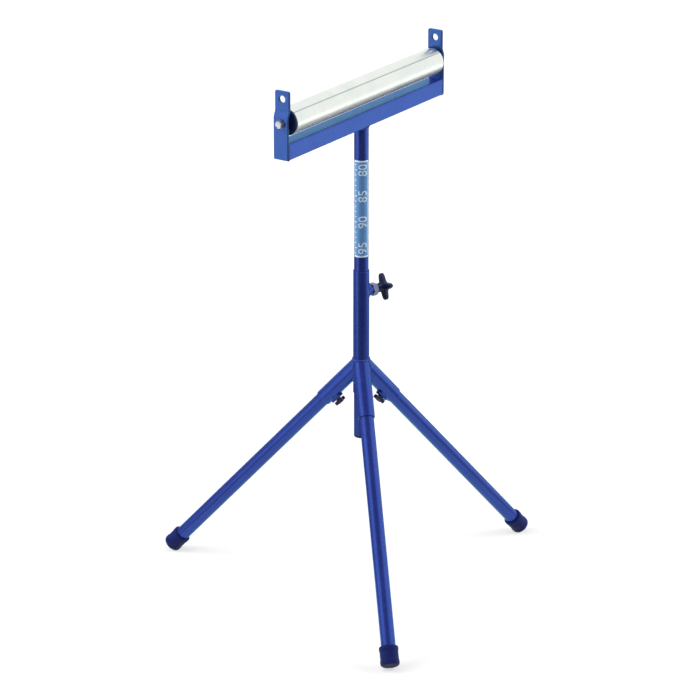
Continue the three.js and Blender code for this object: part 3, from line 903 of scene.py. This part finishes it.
def add_screw(kind, joint, suffix, place):
    """Adds a clamp's stud and grip, and gives the bore that its nut needs."""
    stud = f"{kind}_clamp_stud{suffix}"
    start, end, radius = along(stud, place)
    shape = threaded(radius, start, end, SCREW_PITCH[kind], place)
    add(f"{kind}_screw{suffix}", shape, ZINC, joint, [stud])
    bore = radius + BORE_GAP
    knob = f"{kind}_clamp_knob{suffix}"
    start, end, tip = along(knob, place)
    shape = star_grip(STARS[kind], start, end, tip, bore, place)
    body = joint.replace("screw", "grip")
    add(f"{kind}_star_grip{suffix}", shape, BLACK_PLASTIC, body, [knob])
    return bore


def add_column_clamp():
    place = clamp_place("column_screw", UP)
    bore = add_screw("column", "column_screw", "", place)
    height = along("column_clamp_boss", place)[1] - outer_radius
    wide = BOSS_RADIUS + BOSS_FILLET
    corners = [
        (bore, 0, 0),
        (wide, 0, 0),
        (wide - BOSS_TOE, BOSS_TOE_HEIGHT, 0),
        (BOSS_RADIUS, BOSS_TOE_HEIGHT, BOSS_SWEEP),
        (BOSS_RADIUS, height, BOSS_EDGE),
        (bore, height, 0),
    ]
    shape = placed(seated(turned(rounded(corners)), outer_radius, height), place)
    add("screw_boss", shape, BLUE, "base", ["column_clamp_boss"])
    low, high = along("column_clamp_nut", place)[:2]
    shape = hexagonal(COLUMN_NUT_ACROSS, low, high, bore, place)
    add("screw_nut", shape, NUT_ZINC, "base", ["column_clamp_nut"])


def long_round(inset, height):
    """A ring with straight sides along X and round ends, as the leg's threaded pad has."""
    end = LEG_NUT_WIDTH / 2 - inset
    straight = (LEG_NUT_LENGTH - LEG_NUT_WIDTH) / 2

    def point(angle):
        across, rise = math.cos(angle), math.sin(angle)
        size = end / max(abs(rise), MERGE)
        if size * abs(across) > straight:
            size = straight * abs(across) + math.sqrt(end**2 - (straight * rise) ** 2)
        return (size * across, size * rise, height)

    return point


def add_leg_clamp(leg):
    place = clamp_place(f"leg_screw_{leg}", leg_axes[leg])
    bore = add_screw("leg", f"leg_screw_{leg}", f"_{leg}", place)
    nut = f"leg_clamp_nut_{leg}"
    socket_radius = reach(f"leg_socket_{leg}", hub, leg_axes[leg])[2]
    height = along(nut, place)[1] - socket_radius
    rings = [circle(bore, 0), long_round(-LEG_NUT_EDGE, 0), long_round(0, LEG_NUT_EDGE)]
    for turn in QUARTER:
        drop = LEG_NUT_EDGE * (1 - math.sin(turn))
        rings.append(long_round(LEG_NUT_EDGE * (1 - math.cos(turn)), height - drop))
    rings.append(circle(bore, height))
    shape = placed(seated(lofted(rings, ROUND_SMALL, ring=True), socket_radius, height), place)
    add(f"leg_nut_{leg}", shape, BLUE, "base", [nut])


# Inner tube, its plug and the printed scale
def add_inner_tube():
    start, end, radius = reach("inner_column", column_axis, UP)
    shape = placed(tube(start, end, radius, INNER_WALL, TUBE_LIP), Matrix.Translation(column_axis))
    add("inner_tube", shape, BLUE_RUBBED, "head", ["inner_column"])


def add_plug():
    low, high, flange = reach("column_plug", column_axis, UP)
    stem = inner_radius - INNER_WALL - BORE_GAP
    top = low + PLUG_FLANGE
    corners = [
        (0, low, 0),
        (flange, low, PLUG_ROUND),
        (flange, top, PLUG_FLANGE_EDGE),
        (stem, top, 0),
        (stem, high, PLUG_STEM_EDGE),
        (stem - PLUG_WALL, high, PLUG_STEM_EDGE),
        (stem - PLUG_WALL, top, 0),
        (0, top, 0),
    ]
    shape = placed(turned(rounded(corners), ring=False), Matrix.Translation(column_axis))
    add("tube_plug", shape, BLACK_PLASTIC, "column_foot", ["column_plug"])


def bar(shape, left, right, low, high):
    """A flat printed bar in the scale's plane: X round the tube, Y up it."""
    size = Matrix.Diagonal(((right - left) / 2, (high - low) / 2, 1, 1))
    centre = Matrix.Translation(((left + right) / 2, (low + high) / 2, 0))
    bmesh.ops.create_grid(shape, x_segments=1, y_segments=1, size=1, matrix=centre @ size)


def digits(shape, number, across, height):
    """A plain number that reads up the tube, centred at a place across it and a height."""
    line = bpy.data.curves.new("digits", "FONT")
    line.body = str(number)
    line.size = SCALE_DIGITS
    line.align_x = "CENTER"
    mesh = mesh_of(line)
    tops = [vertex.co.y for vertex in mesh.vertices]
    centre = Matrix.Translation((0, -(min(tops) + max(tops)) / 2, 0))
    mesh.transform(Matrix.Translation((across, height, 0)) @ Matrix.Rotation(math.pi / 2, 4, "Z") @ centre)
    take_in(shape, mesh)


def wrapped(shape, lift):
    """Cuts a flat print into narrow strips, thickens it and bends it round the tube, towards the camera."""
    bmesh.ops.remove_doubles(shape, verts=shape.verts, dist=MERGE)
    cuts = int(SCALE_HALF_WIDTH / INK_FACET) + 1
    for index in range(-cuts, cuts + 1):
        cut_across(shape, (index * INK_FACET, 0, 0), 0)
    thickened(shape, UP, INK)
    facing = math.radians(CAMERA_AZIMUTH) - math.pi / 2
    for vertex in shape.verts:
        angle = facing + vertex.co.x / inner_radius
        size = inner_radius + lift + vertex.co.z
        vertex.co = column_axis + Vector((size * math.cos(angle), size * math.sin(angle), vertex.co.y))
    return shape


def add_height_scale():
    """Centimetre marks on a paler field that give the height of the roller's top at the outer tube's rim."""
    edge = SCALE_HALF_WIDTH
    field = bmesh.new()
    bar(field, -edge, edge, SCALE_BOTTOM, SCALE_TOP)
    add("scale_field", wrapped(field, FIELD_LIFT), FIELD_BLUE, "head")

    marks = bmesh.new()
    for low in (SCALE_BOTTOM, SCALE_TOP - SCALE_FRAME):
        bar(marks, -edge, edge, low, low + SCALE_FRAME)
    clear = SCALE_FRAME + SCALE_GAP
    for left in (-edge, edge - SCALE_SIDE):
        bar(marks, left, left + SCALE_SIDE, SCALE_BOTTOM + clear, SCALE_TOP - clear)

    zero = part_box("roller_tube")[1].z + reach("outer_column", column_axis, UP)[1]
    half_tick = SCALE_TICK / 2
    lowest = math.ceil((zero - SCALE_TOP + half_tick) / SCALE_TICK)
    highest = math.floor((zero - SCALE_BOTTOM - half_tick) / SCALE_TICK)
    tick = -edge + SCALE_SIDE + SCALE_GAP
    for centimetres in range(lowest, highest + 1):
        height = zero - centimetres * SCALE_TICK
        numbered = centimetres % SCALE_NUMBERED == 0
        tick_end = tick + (SCALE_LONG if numbered else SCALE_SHORT)
        bar(marks, tick, tick_end, height - SCALE_LINE / 2, height + SCALE_LINE / 2)
        if numbered:
            digits(marks, centimetres, SCALE_DIGIT_SHIFT, height)
    add("height_scale", wrapped(marks, MARK_LIFT), INK_WHITE, "head")


# Cross beam and its welds
def add_beam():
    low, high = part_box("cross_beam")
    shape = bmesh.new()
    bmesh.ops.create_cube(shape, size=1)
    size = high - low
    placed(shape, Matrix.Translation((low + high) / 2) @ Matrix.Diagonal((*size, 1)))
    long_edges = [edge for edge in shape.edges if abs((edge.verts[0].co - edge.verts[1].co).x) > size.x / 2]
    round_edges(shape, long_edges, BEAM_CORNER, BEAM_SEGMENTS)
    ends = [face for face in shape.faces if abs(face.normal.x) > BEAM_END_FACING]
    bmesh.ops.delete(shape, geom=ends, context="FACES")
    inset = Vector((GUARD, BEAM_CORNER + GUARD, BEAM_CORNER + GUARD))
    for corner in (low + inset, high - inset):
        for axis in range(3):
            cut_across(shape, corner, axis)
    bmesh.ops.solidify(shape, geom=shape.faces[:], thickness=BEAM_WALL)
    add("beam_box", shape, BLUE, "head", ["cross_beam"])


def add_beam_collar():
    """The flared weld under the beam, drawn out along it and kept within its width."""
    beam_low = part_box("cross_beam")[0].z

    def oval(along_beam, across_beam, drop):
        def point(angle):
            flat = (along_beam * math.cos(angle), across_beam * math.sin(angle), beam_low - drop)
            return column_axis + Vector(flat)

        return point

    def flare(share):
        flared = 1 - math.sqrt(max(0, 1 - share * share))
        along_beam = inner_radius + COLLAR_REACH * flared
        across_beam = inner_radius + COLLAR_SIDE * flared
        return oval(along_beam, across_beam, COLLAR_HEIGHT * (1 - share))

    inside = inner_radius - INNER_WALL
    rings = [flare(step / (2 * ARC)) for step in range(2 * ARC + 1)]
    rings += [oval(inside, inside, 0), oval(inside, inside, COLLAR_HEIGHT)]
    add("beam_collar", lofted(rings, ROUND, ring=True), BLUE, "head")


def add_plate_weld(end):
    """A bead round the beam, where it meets an end plate."""
    low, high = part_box("cross_beam")
    x = low.x if end == "left" else high.x
    half = (high.z - low.z) / 2
    centre = Vector((x, column_axis.y, (low.z + high.z) / 2))

    def seam(share):
        angle = math.tau * share
        reach_out = half / max(abs(math.cos(angle)), abs(math.sin(angle)))
        size = min(reach_out, half * math.sqrt(2) - BEAM_CORNER * (math.sqrt(2) - 1))
        return centre + Vector((0, size * math.cos(angle), size * math.sin(angle)))

    keep = half - PLATE_BEAD_SUNK
    perimeter = 8 * half
    path = walked(seam, perimeter)
    for point in path:
        point.y = min(max(point.y, column_axis.y - keep), column_axis.y + keep)
    add(f"plate_weld_{end}", bead(path, PLATE_BEAD), BLUE, "head")


# End plates
def tab_size(across, rise, half):
    """Distance from the middle of the tab's hole to its outline, a square with rounded upper corners."""
    size = half / max(across, abs(rise))
    straight = half - TAB_CORNER
    if min(size * across, size * rise) < straight:
        return size
    lean = straight * (across + rise)
    return lean + math.sqrt(lean**2 - 2 * straight**2 + TAB_CORNER**2)


def tab_sheet(centre, half):
    """The flat sheet from the tab's hole out to the tab's outline."""
    shape = bmesh.new()
    loops = []
    for radius in (TAB_HOLE_RADIUS, TAB_HOLE_RADIUS + GUARD, None):
        made = bmesh.ops.create_circle(shape, segments=ROUND, radius=1)["verts"]
        for vertex in made:
            across, rise = vertex.co.x, vertex.co.y
            size = radius or tab_size(abs(across), rise, half)
            vertex.co = centre + Vector((0, across * size, rise * size))
        loops.append({edge for vertex in made for edge in vertex.link_edges})
    for inner, outer in zip(loops, loops[1:]):
        bmesh.ops.bridge_loops(shape, edges=list(inner | outer))
    return shape


def drawn_down(shape, heights):
    """Draws a sheet's lower edge down through a list of heights."""
    for above, below in zip(heights, heights[1:]):
        edges = [edge for edge in shape.edges if all(abs(end.co.z - above) < MERGE for end in edge.verts)]
        made = bmesh.ops.extrude_edge_only(shape, edges=edges)["geom"]
        moved = [part for part in made if isinstance(part, bmesh.types.BMVert)]
        bmesh.ops.translate(shape, verts=moved, vec=(0, 0, below - above))


def end_plate(end):
    """A flat bar, stepped inwards above the axle, with a hole in its rounded tab."""
    low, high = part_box(f"end_plate_{end}")
    half = (high.y - low.y) / 2
    hole_height = high.z - half
    tab_low = hole_height - half
    centre = Vector((0, (low.y + high.y) / 2, hole_height))
    shape = tab_sheet(centre, half)
    joggle = JOGGLE_LOW - JOGGLE_HIGH
    bends = [JOGGLE_HIGH + joggle * step / JOGGLE_STEPS for step in range(JOGGLE_STEPS + 1)]
    drawn_down(shape, [tab_low, *(roller_middle.z + rise for rise in bends), low.z])
    for inset in (GUARD - half, half - GUARD):
        cut_across(shape, centre + Vector((0, inset, 0)), 1, tab_low)
    cut_across(shape, low + Vector((0, 0, GUARD)), 2)

    outward = -ALONG_ROLLER if end == "left" else ALONG_ROLLER
    outside = low.x if end == "left" else high.x
    step_in = (high.x - low.x) - PLATE_THICKNESS
    for vertex in shape.verts:
        share = (vertex.co.z - roller_middle.z - JOGGLE_LOW) / (JOGGLE_HIGH - JOGGLE_LOW)
        share = min(1, max(0, share))
        eased = share * share * (3 - 2 * share)
        vertex.co.x = outside - outward.x * step_in * eased
    soften(thickened(shape, outward, PLATE_THICKNESS), PLATE_EDGE)
    shape.normal_update()
    # Faces on the cut edges take the second finish, a darker blue that paints shade on them
    for face in shape.faces:
        face.material_index = int(abs(face.normal.y) > PAINTED_SHADE_FACING)
    return shape


# Roller, axle, and what holds it at each end
def roller_place(end):
    """The roller's middle, with Z out towards one end."""
    return aim(roller_middle, -ALONG_ROLLER if end == "left" else ALONG_ROLLER, UP)


def add_roller():
    place = roller_place("right")
    start, end, radius = along("roller_tube", place)
    shape = placed(tube(start, end, radius, ROLLER_WALL, ROLLER_LIP, 2 * ROUND), place)
    add("roller_shell", shape, ROLLER_STEEL, "roller", ["roller_tube"])
    start, end, radius = along("roller_axle", place)
    corners = [(0, start, 0), (radius, start, AXLE_EDGE), (radius, end, AXLE_EDGE), (0, end, 0)]
    shape = placed(turned(rounded(corners), ROUND_SMALL, ring=False), place)
    add("axle_rod", shape, GROUND_STEEL, "head", ["roller_axle"])


def end_housing(end):
    """The moulded cup in the roller's end that holds the bearing, with a rounded flange."""
    place = roller_place(end)
    back, face, flange = along(f"bearing_housing_{end}", place)
    tube_end, tube_radius = along("roller_tube", place)[1:]
    barrel = tube_radius - ROLLER_WALL - BORE_GAP
    floor = back + HOUSING_LIP
    shoulder = tube_end + BORE_GAP
    rim = flange * HOUSING_RIM
    dish = face - HOUSING_DISH
    corners = [
        (BEARING_SEAT - HOUSING_LIP, back, HOUSING_BACK_BORE),
        (barrel, back, HOUSING_BACK_EDGE),
        (barrel, shoulder, 0),
        (flange, shoulder, HOUSING_SHOULDER_EDGE),
        (flange, face, HOUSING_EDGE),
        (rim, face, HOUSING_RIM_EDGE),
        (rim - HOUSING_DISH, dish, HOUSING_DISH_EDGE),
        (BEARING_SEAT, dish, SEAT_EDGE),
        (BEARING_SEAT, floor, 0),
        (BEARING_SEAT - HOUSING_LIP, floor, 0),
    ]
    return placed(turned(rounded(corners)), place)


def spacer(end):
    """The sleeve on the axle, with the disc that closes the housing's mouth."""
    place = roller_place(end)
    low, high, disc = along(f"axle_spacer_{end}", place)
    shoulder = SPACER_BORE + SPACER_WALL
    disc_low = low + DUST_STEP
    disc_high = disc_low + DUST_DISC
    corners = [
        (SPACER_BORE, low, 0),
        (shoulder, low, 0),
        (shoulder, disc_low, 0),
        (disc, disc_low, DUST_DISC_BACK_EDGE),
        (disc, disc_high, DUST_DISC_EDGE),
        (shoulder, disc_high, SPACER_FILLET),
        (shoulder, high, SPACER_EDGE),
        (SPACER_BORE, high, 0),
    ]
    return placed(turned(rounded(corners)), place)


def washer(end):
    place = roller_place(end)
    low, high, radius = along(f"axle_washer_{end}", place)
    corners = [(WASHER_BORE, low), (radius, low), (radius, high), (WASHER_BORE, high)]
    return placed(turned(rounded([(*corner, WASHER_EDGE) for corner in corners])), place)


def axle_bolt(end):
    """A hexagon bolt: chamfered head and plain shank."""
    place = roller_place(end)
    tip, top = along(f"axle_bolt_{end}", place)[:2]
    seat = top - BOLT_HEAD_HEIGHT
    corners = [(0, tip, 0), (BOLT_RADIUS, tip, BOLT_TIP_EDGE), (BOLT_RADIUS, seat, 0), (0, seat, 0)]
    shank = placed(turned(rounded(corners), ROUND_SMALL, ring=False), place)
    mesh = bpy.data.meshes.new("shank")
    shank.to_mesh(mesh)
    shank.free()
    return take_in(hexagonal(BOLT_HEAD_ACROSS, seat, top, 0, place), mesh)


def add_roller_end(end):
    plate = f"end_plate_{end}"
    # The plate takes the lighter copy of the blue coat, which paints light on it
    made = add(f"stepped_plate_{end}", end_plate(end), BLUE_PAINTED_LIGHT, "head", [plate])
    # Second finish: the darker blue that paints shade on the plate's cut edges
    made.data.materials.append(BLUE_PAINTED_SHADE)
    add_plate_weld(end)
    housing = f"bearing_housing_{end}"
    # Housing and spacer take the black plastic with the painted blue reflection
    add(f"roller_end_{end}", end_housing(end), HOUSING_PLASTIC_PAINTED_REFLECTION, "roller", [housing])
    sleeve = f"axle_spacer_{end}"
    add(f"spacer_{end}", spacer(end), HOUSING_PLASTIC_PAINTED_REFLECTION, "head", [sleeve])
    flat = f"axle_washer_{end}"
    add(f"flat_washer_{end}", washer(end), NUT_ZINC, "head", [flat])
    bolt = f"axle_bolt_{end}"
    add(f"hexagon_bolt_{end}", axle_bolt(end), ZINC, "head", [bolt])
    for kept in (f"bearing_inner_ring_{end}", f"bearing_outer_ring_{end}", f"ball_cage_{end}"):
        frame["nodes"][kept].data.materials.clear()
        frame["nodes"][kept].data.materials.append(GROUND_STEEL)


# Studio: white floor and backdrop, soft lamps, and dark or grey cards that only shape the reflections
FLOOR_SIZE = 14
FLOOR_TONE = 0.35
FLOOR_GLOW_NEAR = 0.6
FLOOR_GLOW_FAR = 0.92
FLOOR_NEAR = 0.5
FLOOR_FAR = 2.5
WORLD_LIGHT = 0.25
WHITE = (1, 1, 1, 1)
LAMP_TARGET = 0.55
LAMPS = {
    "left_softbox": {"azimuth": -140, "elevation": 28, "distance": 3.2, "size": 2.4, "watts": 122},
    "right_softbox": {"azimuth": 40, "elevation": 25, "distance": 3.2, "size": 2.2, "watts": 110},
    "top_softbox": {"azimuth": 180, "elevation": 72, "distance": 3.0, "size": 2.2, "watts": 40},
}
CARD_ROUGHNESS = 0.9


def level(height, *corners):
    """A flat card's corners, from distances towards the camera and to its right."""
    return [(ahead, right, height) for ahead, right in corners]


def upright(height, start, end):
    """A standing card's corners, between two places on the floor."""
    return [(*start, 0), (*end, 0), (*end, height), (*start, height)]


CARDS = {
    "dark_foreground": (0.02, level(0.004, (0.6, -0.65), (0.6, 1.1), (6, 11), (6, -6.5))),
    "dark_background": (0.02, level(0.004, (-0.5, 0.4), (-0.5, -0.4), (-8, -7), (-8, 7))),
    "dark_ceiling": (0.05, level(2.6, (0.55, -1.7), (0.55, 1.7), (2.4, 1.7), (2.4, -1.7))),
    "grey_right": (0.3, level(0.003, (0.28, 0.53), (-0.46, 0.39), (-1.6, 1.4), (1, 1.9))),
    "grey_far_right": (0.1, level(0.005, (0.8, 1), (-0.1, 1), (-0.1, 1.9), (0.9, 2.6))),
    "grey_left": (0.3, level(0.003, (0.4, -0.45), (-0.46, -0.39), (-1, -0.9), (0.75, -0.95))),
    "grey_far_left": (0.08, level(0.003, (0.75, -0.95), (-1, -0.9), (-2, -1.9), (0.2, -2.7))),
    "grey_left_wall": (0.2, upright(1.2, (0.1, -3), (-2.2, -2))),
}


def seen_white(tree):
    """One for rays from the camera, mirrors and glass."""
    paths = wire(tree, "ShaderNodeLightPath").outputs
    direct = calculated(tree, "MAXIMUM", paths["Is Camera Ray"], paths["Is Glossy Ray"])
    return calculated(tree, "MAXIMUM", direct, paths["Is Transmission Ray"])


def add_world():
    world = bpy.data.worlds.new("white_studio")
    bpy.context.scene.world = world
    world.use_nodes = True
    tree = world.node_tree
    tree.nodes.clear()
    light = wire(tree, "ShaderNodeBackground", {"Color": WHITE, "Strength": WORLD_LIGHT})
    white = wire(tree, "ShaderNodeBackground", {"Color": WHITE, "Strength": 1})
    values = {0: seen_white(tree), 1: light.outputs[0], 2: white.outputs[0]}
    mixed = wire(tree, "ShaderNodeMixShader", values)
    wire(tree, "ShaderNodeOutputWorld", {"Surface": mixed.outputs[0]})


def sheet(name, shape, finish):
    """Makes a shape a piece of the stage."""
    mesh = bpy.data.meshes.new(name)
    shape.to_mesh(mesh)
    shape.free()
    mesh.materials.append(finish)
    made = bpy.data.objects.new(name, mesh)
    bpy.context.scene.collection.objects.link(made)
    return made


def add_floor():
    finish = bpy.data.materials.new("white_floor")
    finish.use_nodes = True
    tree = finish.node_tree
    tree.nodes.clear()
    matt = wire(tree, "ShaderNodeBsdfDiffuse", {"Color": (FLOOR_TONE, FLOOR_TONE, FLOOR_TONE, 1)})
    place = wire(tree, "ShaderNodeTexCoord").outputs["Object"]
    away = wire(tree, "ShaderNodeVectorMath", {0: place}, operation="LENGTH").outputs["Value"]
    strength = spread(tree, away, FLOOR_GLOW_NEAR, FLOOR_GLOW_FAR, FLOOR_NEAR, FLOOR_FAR)
    glow = wire(tree, "ShaderNodeEmission", {"Color": WHITE, "Strength": strength})
    lit = wire(tree, "ShaderNodeAddShader", {0: matt.outputs[0], 1: glow.outputs[0]})
    values = {0: seen_white(tree), 1: matt.outputs[0], 2: lit.outputs[0]}
    mixed = wire(tree, "ShaderNodeMixShader", values)
    wire(tree, "ShaderNodeOutputMaterial", {"Surface": mixed.outputs[0]})
    shape = bmesh.new()
    bmesh.ops.create_grid(shape, x_segments=1, y_segments=1, size=FLOOR_SIZE)
    sheet("floor", shape, finish)


def towards(azimuth, elevation):
    """The direction from the stand to a viewer at that azimuth and elevation."""
    a = math.radians(azimuth)
    e = math.radians(elevation)
    return Vector((math.sin(a) * math.cos(e), -math.cos(a) * math.cos(e), math.sin(e)))


def card(name, shape, tone):
    """A card that shows only in reflections, as a studio's black flag does."""
    finish = bpy.data.materials.new(name)
    finish.use_nodes = True
    shader = finish.node_tree.nodes["Principled BSDF"]
    shader.inputs["Base Color"].default_value = (tone, tone, tone, 1)
    shader.inputs["Roughness"].default_value = CARD_ROUGHNESS
    shader.inputs["Specular IOR Level"].default_value = 0
    made = sheet(name, shape, finish)
    made.visible_camera = False
    made.visible_shadow = False
    made.visible_diffuse = False
    made.visible_transmission = False


def add_cards():
    forward = towards(CAMERA_AZIMUTH, 0)
    sideways = UP.cross(forward)
    for name, (tone, corners) in CARDS.items():
        shape = bmesh.new()
        places = [column_axis + forward * ahead + sideways * right + UP * up for ahead, right, up in corners]
        bmesh.ops.contextual_create(shape, geom=[shape.verts.new(place) for place in places])
        card(name, shape, tone)


def add_lamps():
    target = column_axis + UP * LAMP_TARGET
    for name, lamp in LAMPS.items():
        light = bpy.data.lights.new(name, "AREA")
        light.energy = lamp["watts"]
        light.shape = "SQUARE"
        light.size = lamp["size"]
        made = bpy.data.objects.new(name, light)
        direction = towards(lamp["azimuth"], lamp["elevation"])
        made.location = target + direction * lamp["distance"]
        made.rotation_euler = (-direction).to_track_quat("-Z", "Y").to_euler()
        made.visible_camera = False
        made.visible_glossy = False
        bpy.context.scene.collection.objects.link(made)


def add_camera():
    lens = bpy.data.cameras.new("camera")
    lens.sensor_width = CAMERA_SENSOR
    lens.lens = CAMERA_LENS
    lens.clip_end = CAMERA_CLIP
    camera = bpy.data.objects.new("camera", lens)
    back = towards(CAMERA_AZIMUTH, CAMERA_ELEVATION)
    right = UP.cross(back).normalized()
    target = column_axis + right * AIM_SIDEWAYS + UP * AIM_HEIGHT
    camera.location = target + back * CAMERA_DISTANCE
    camera.rotation_euler = (-back).to_track_quat("-Z", "Y").to_euler()
    bpy.context.scene.collection.objects.link(camera)
    bpy.context.scene.camera = camera


add_outer_tube()
for leg in LEGS:
    add_socket(leg)
    add_hub_weld(leg)
    add_leg(leg)
    add_leg_clamp(leg)
add_column_clamp()
add_inner_tube()
add_plug()
add_height_scale()
add_beam()
add_beam_collar()
add_roller()
for end in ENDS:
    add_roller_end(end)
add_world()
add_floor()
add_cards()
add_lamps()
add_camera()
bpy.context.scene.view_settings.view_transform = "Standard"
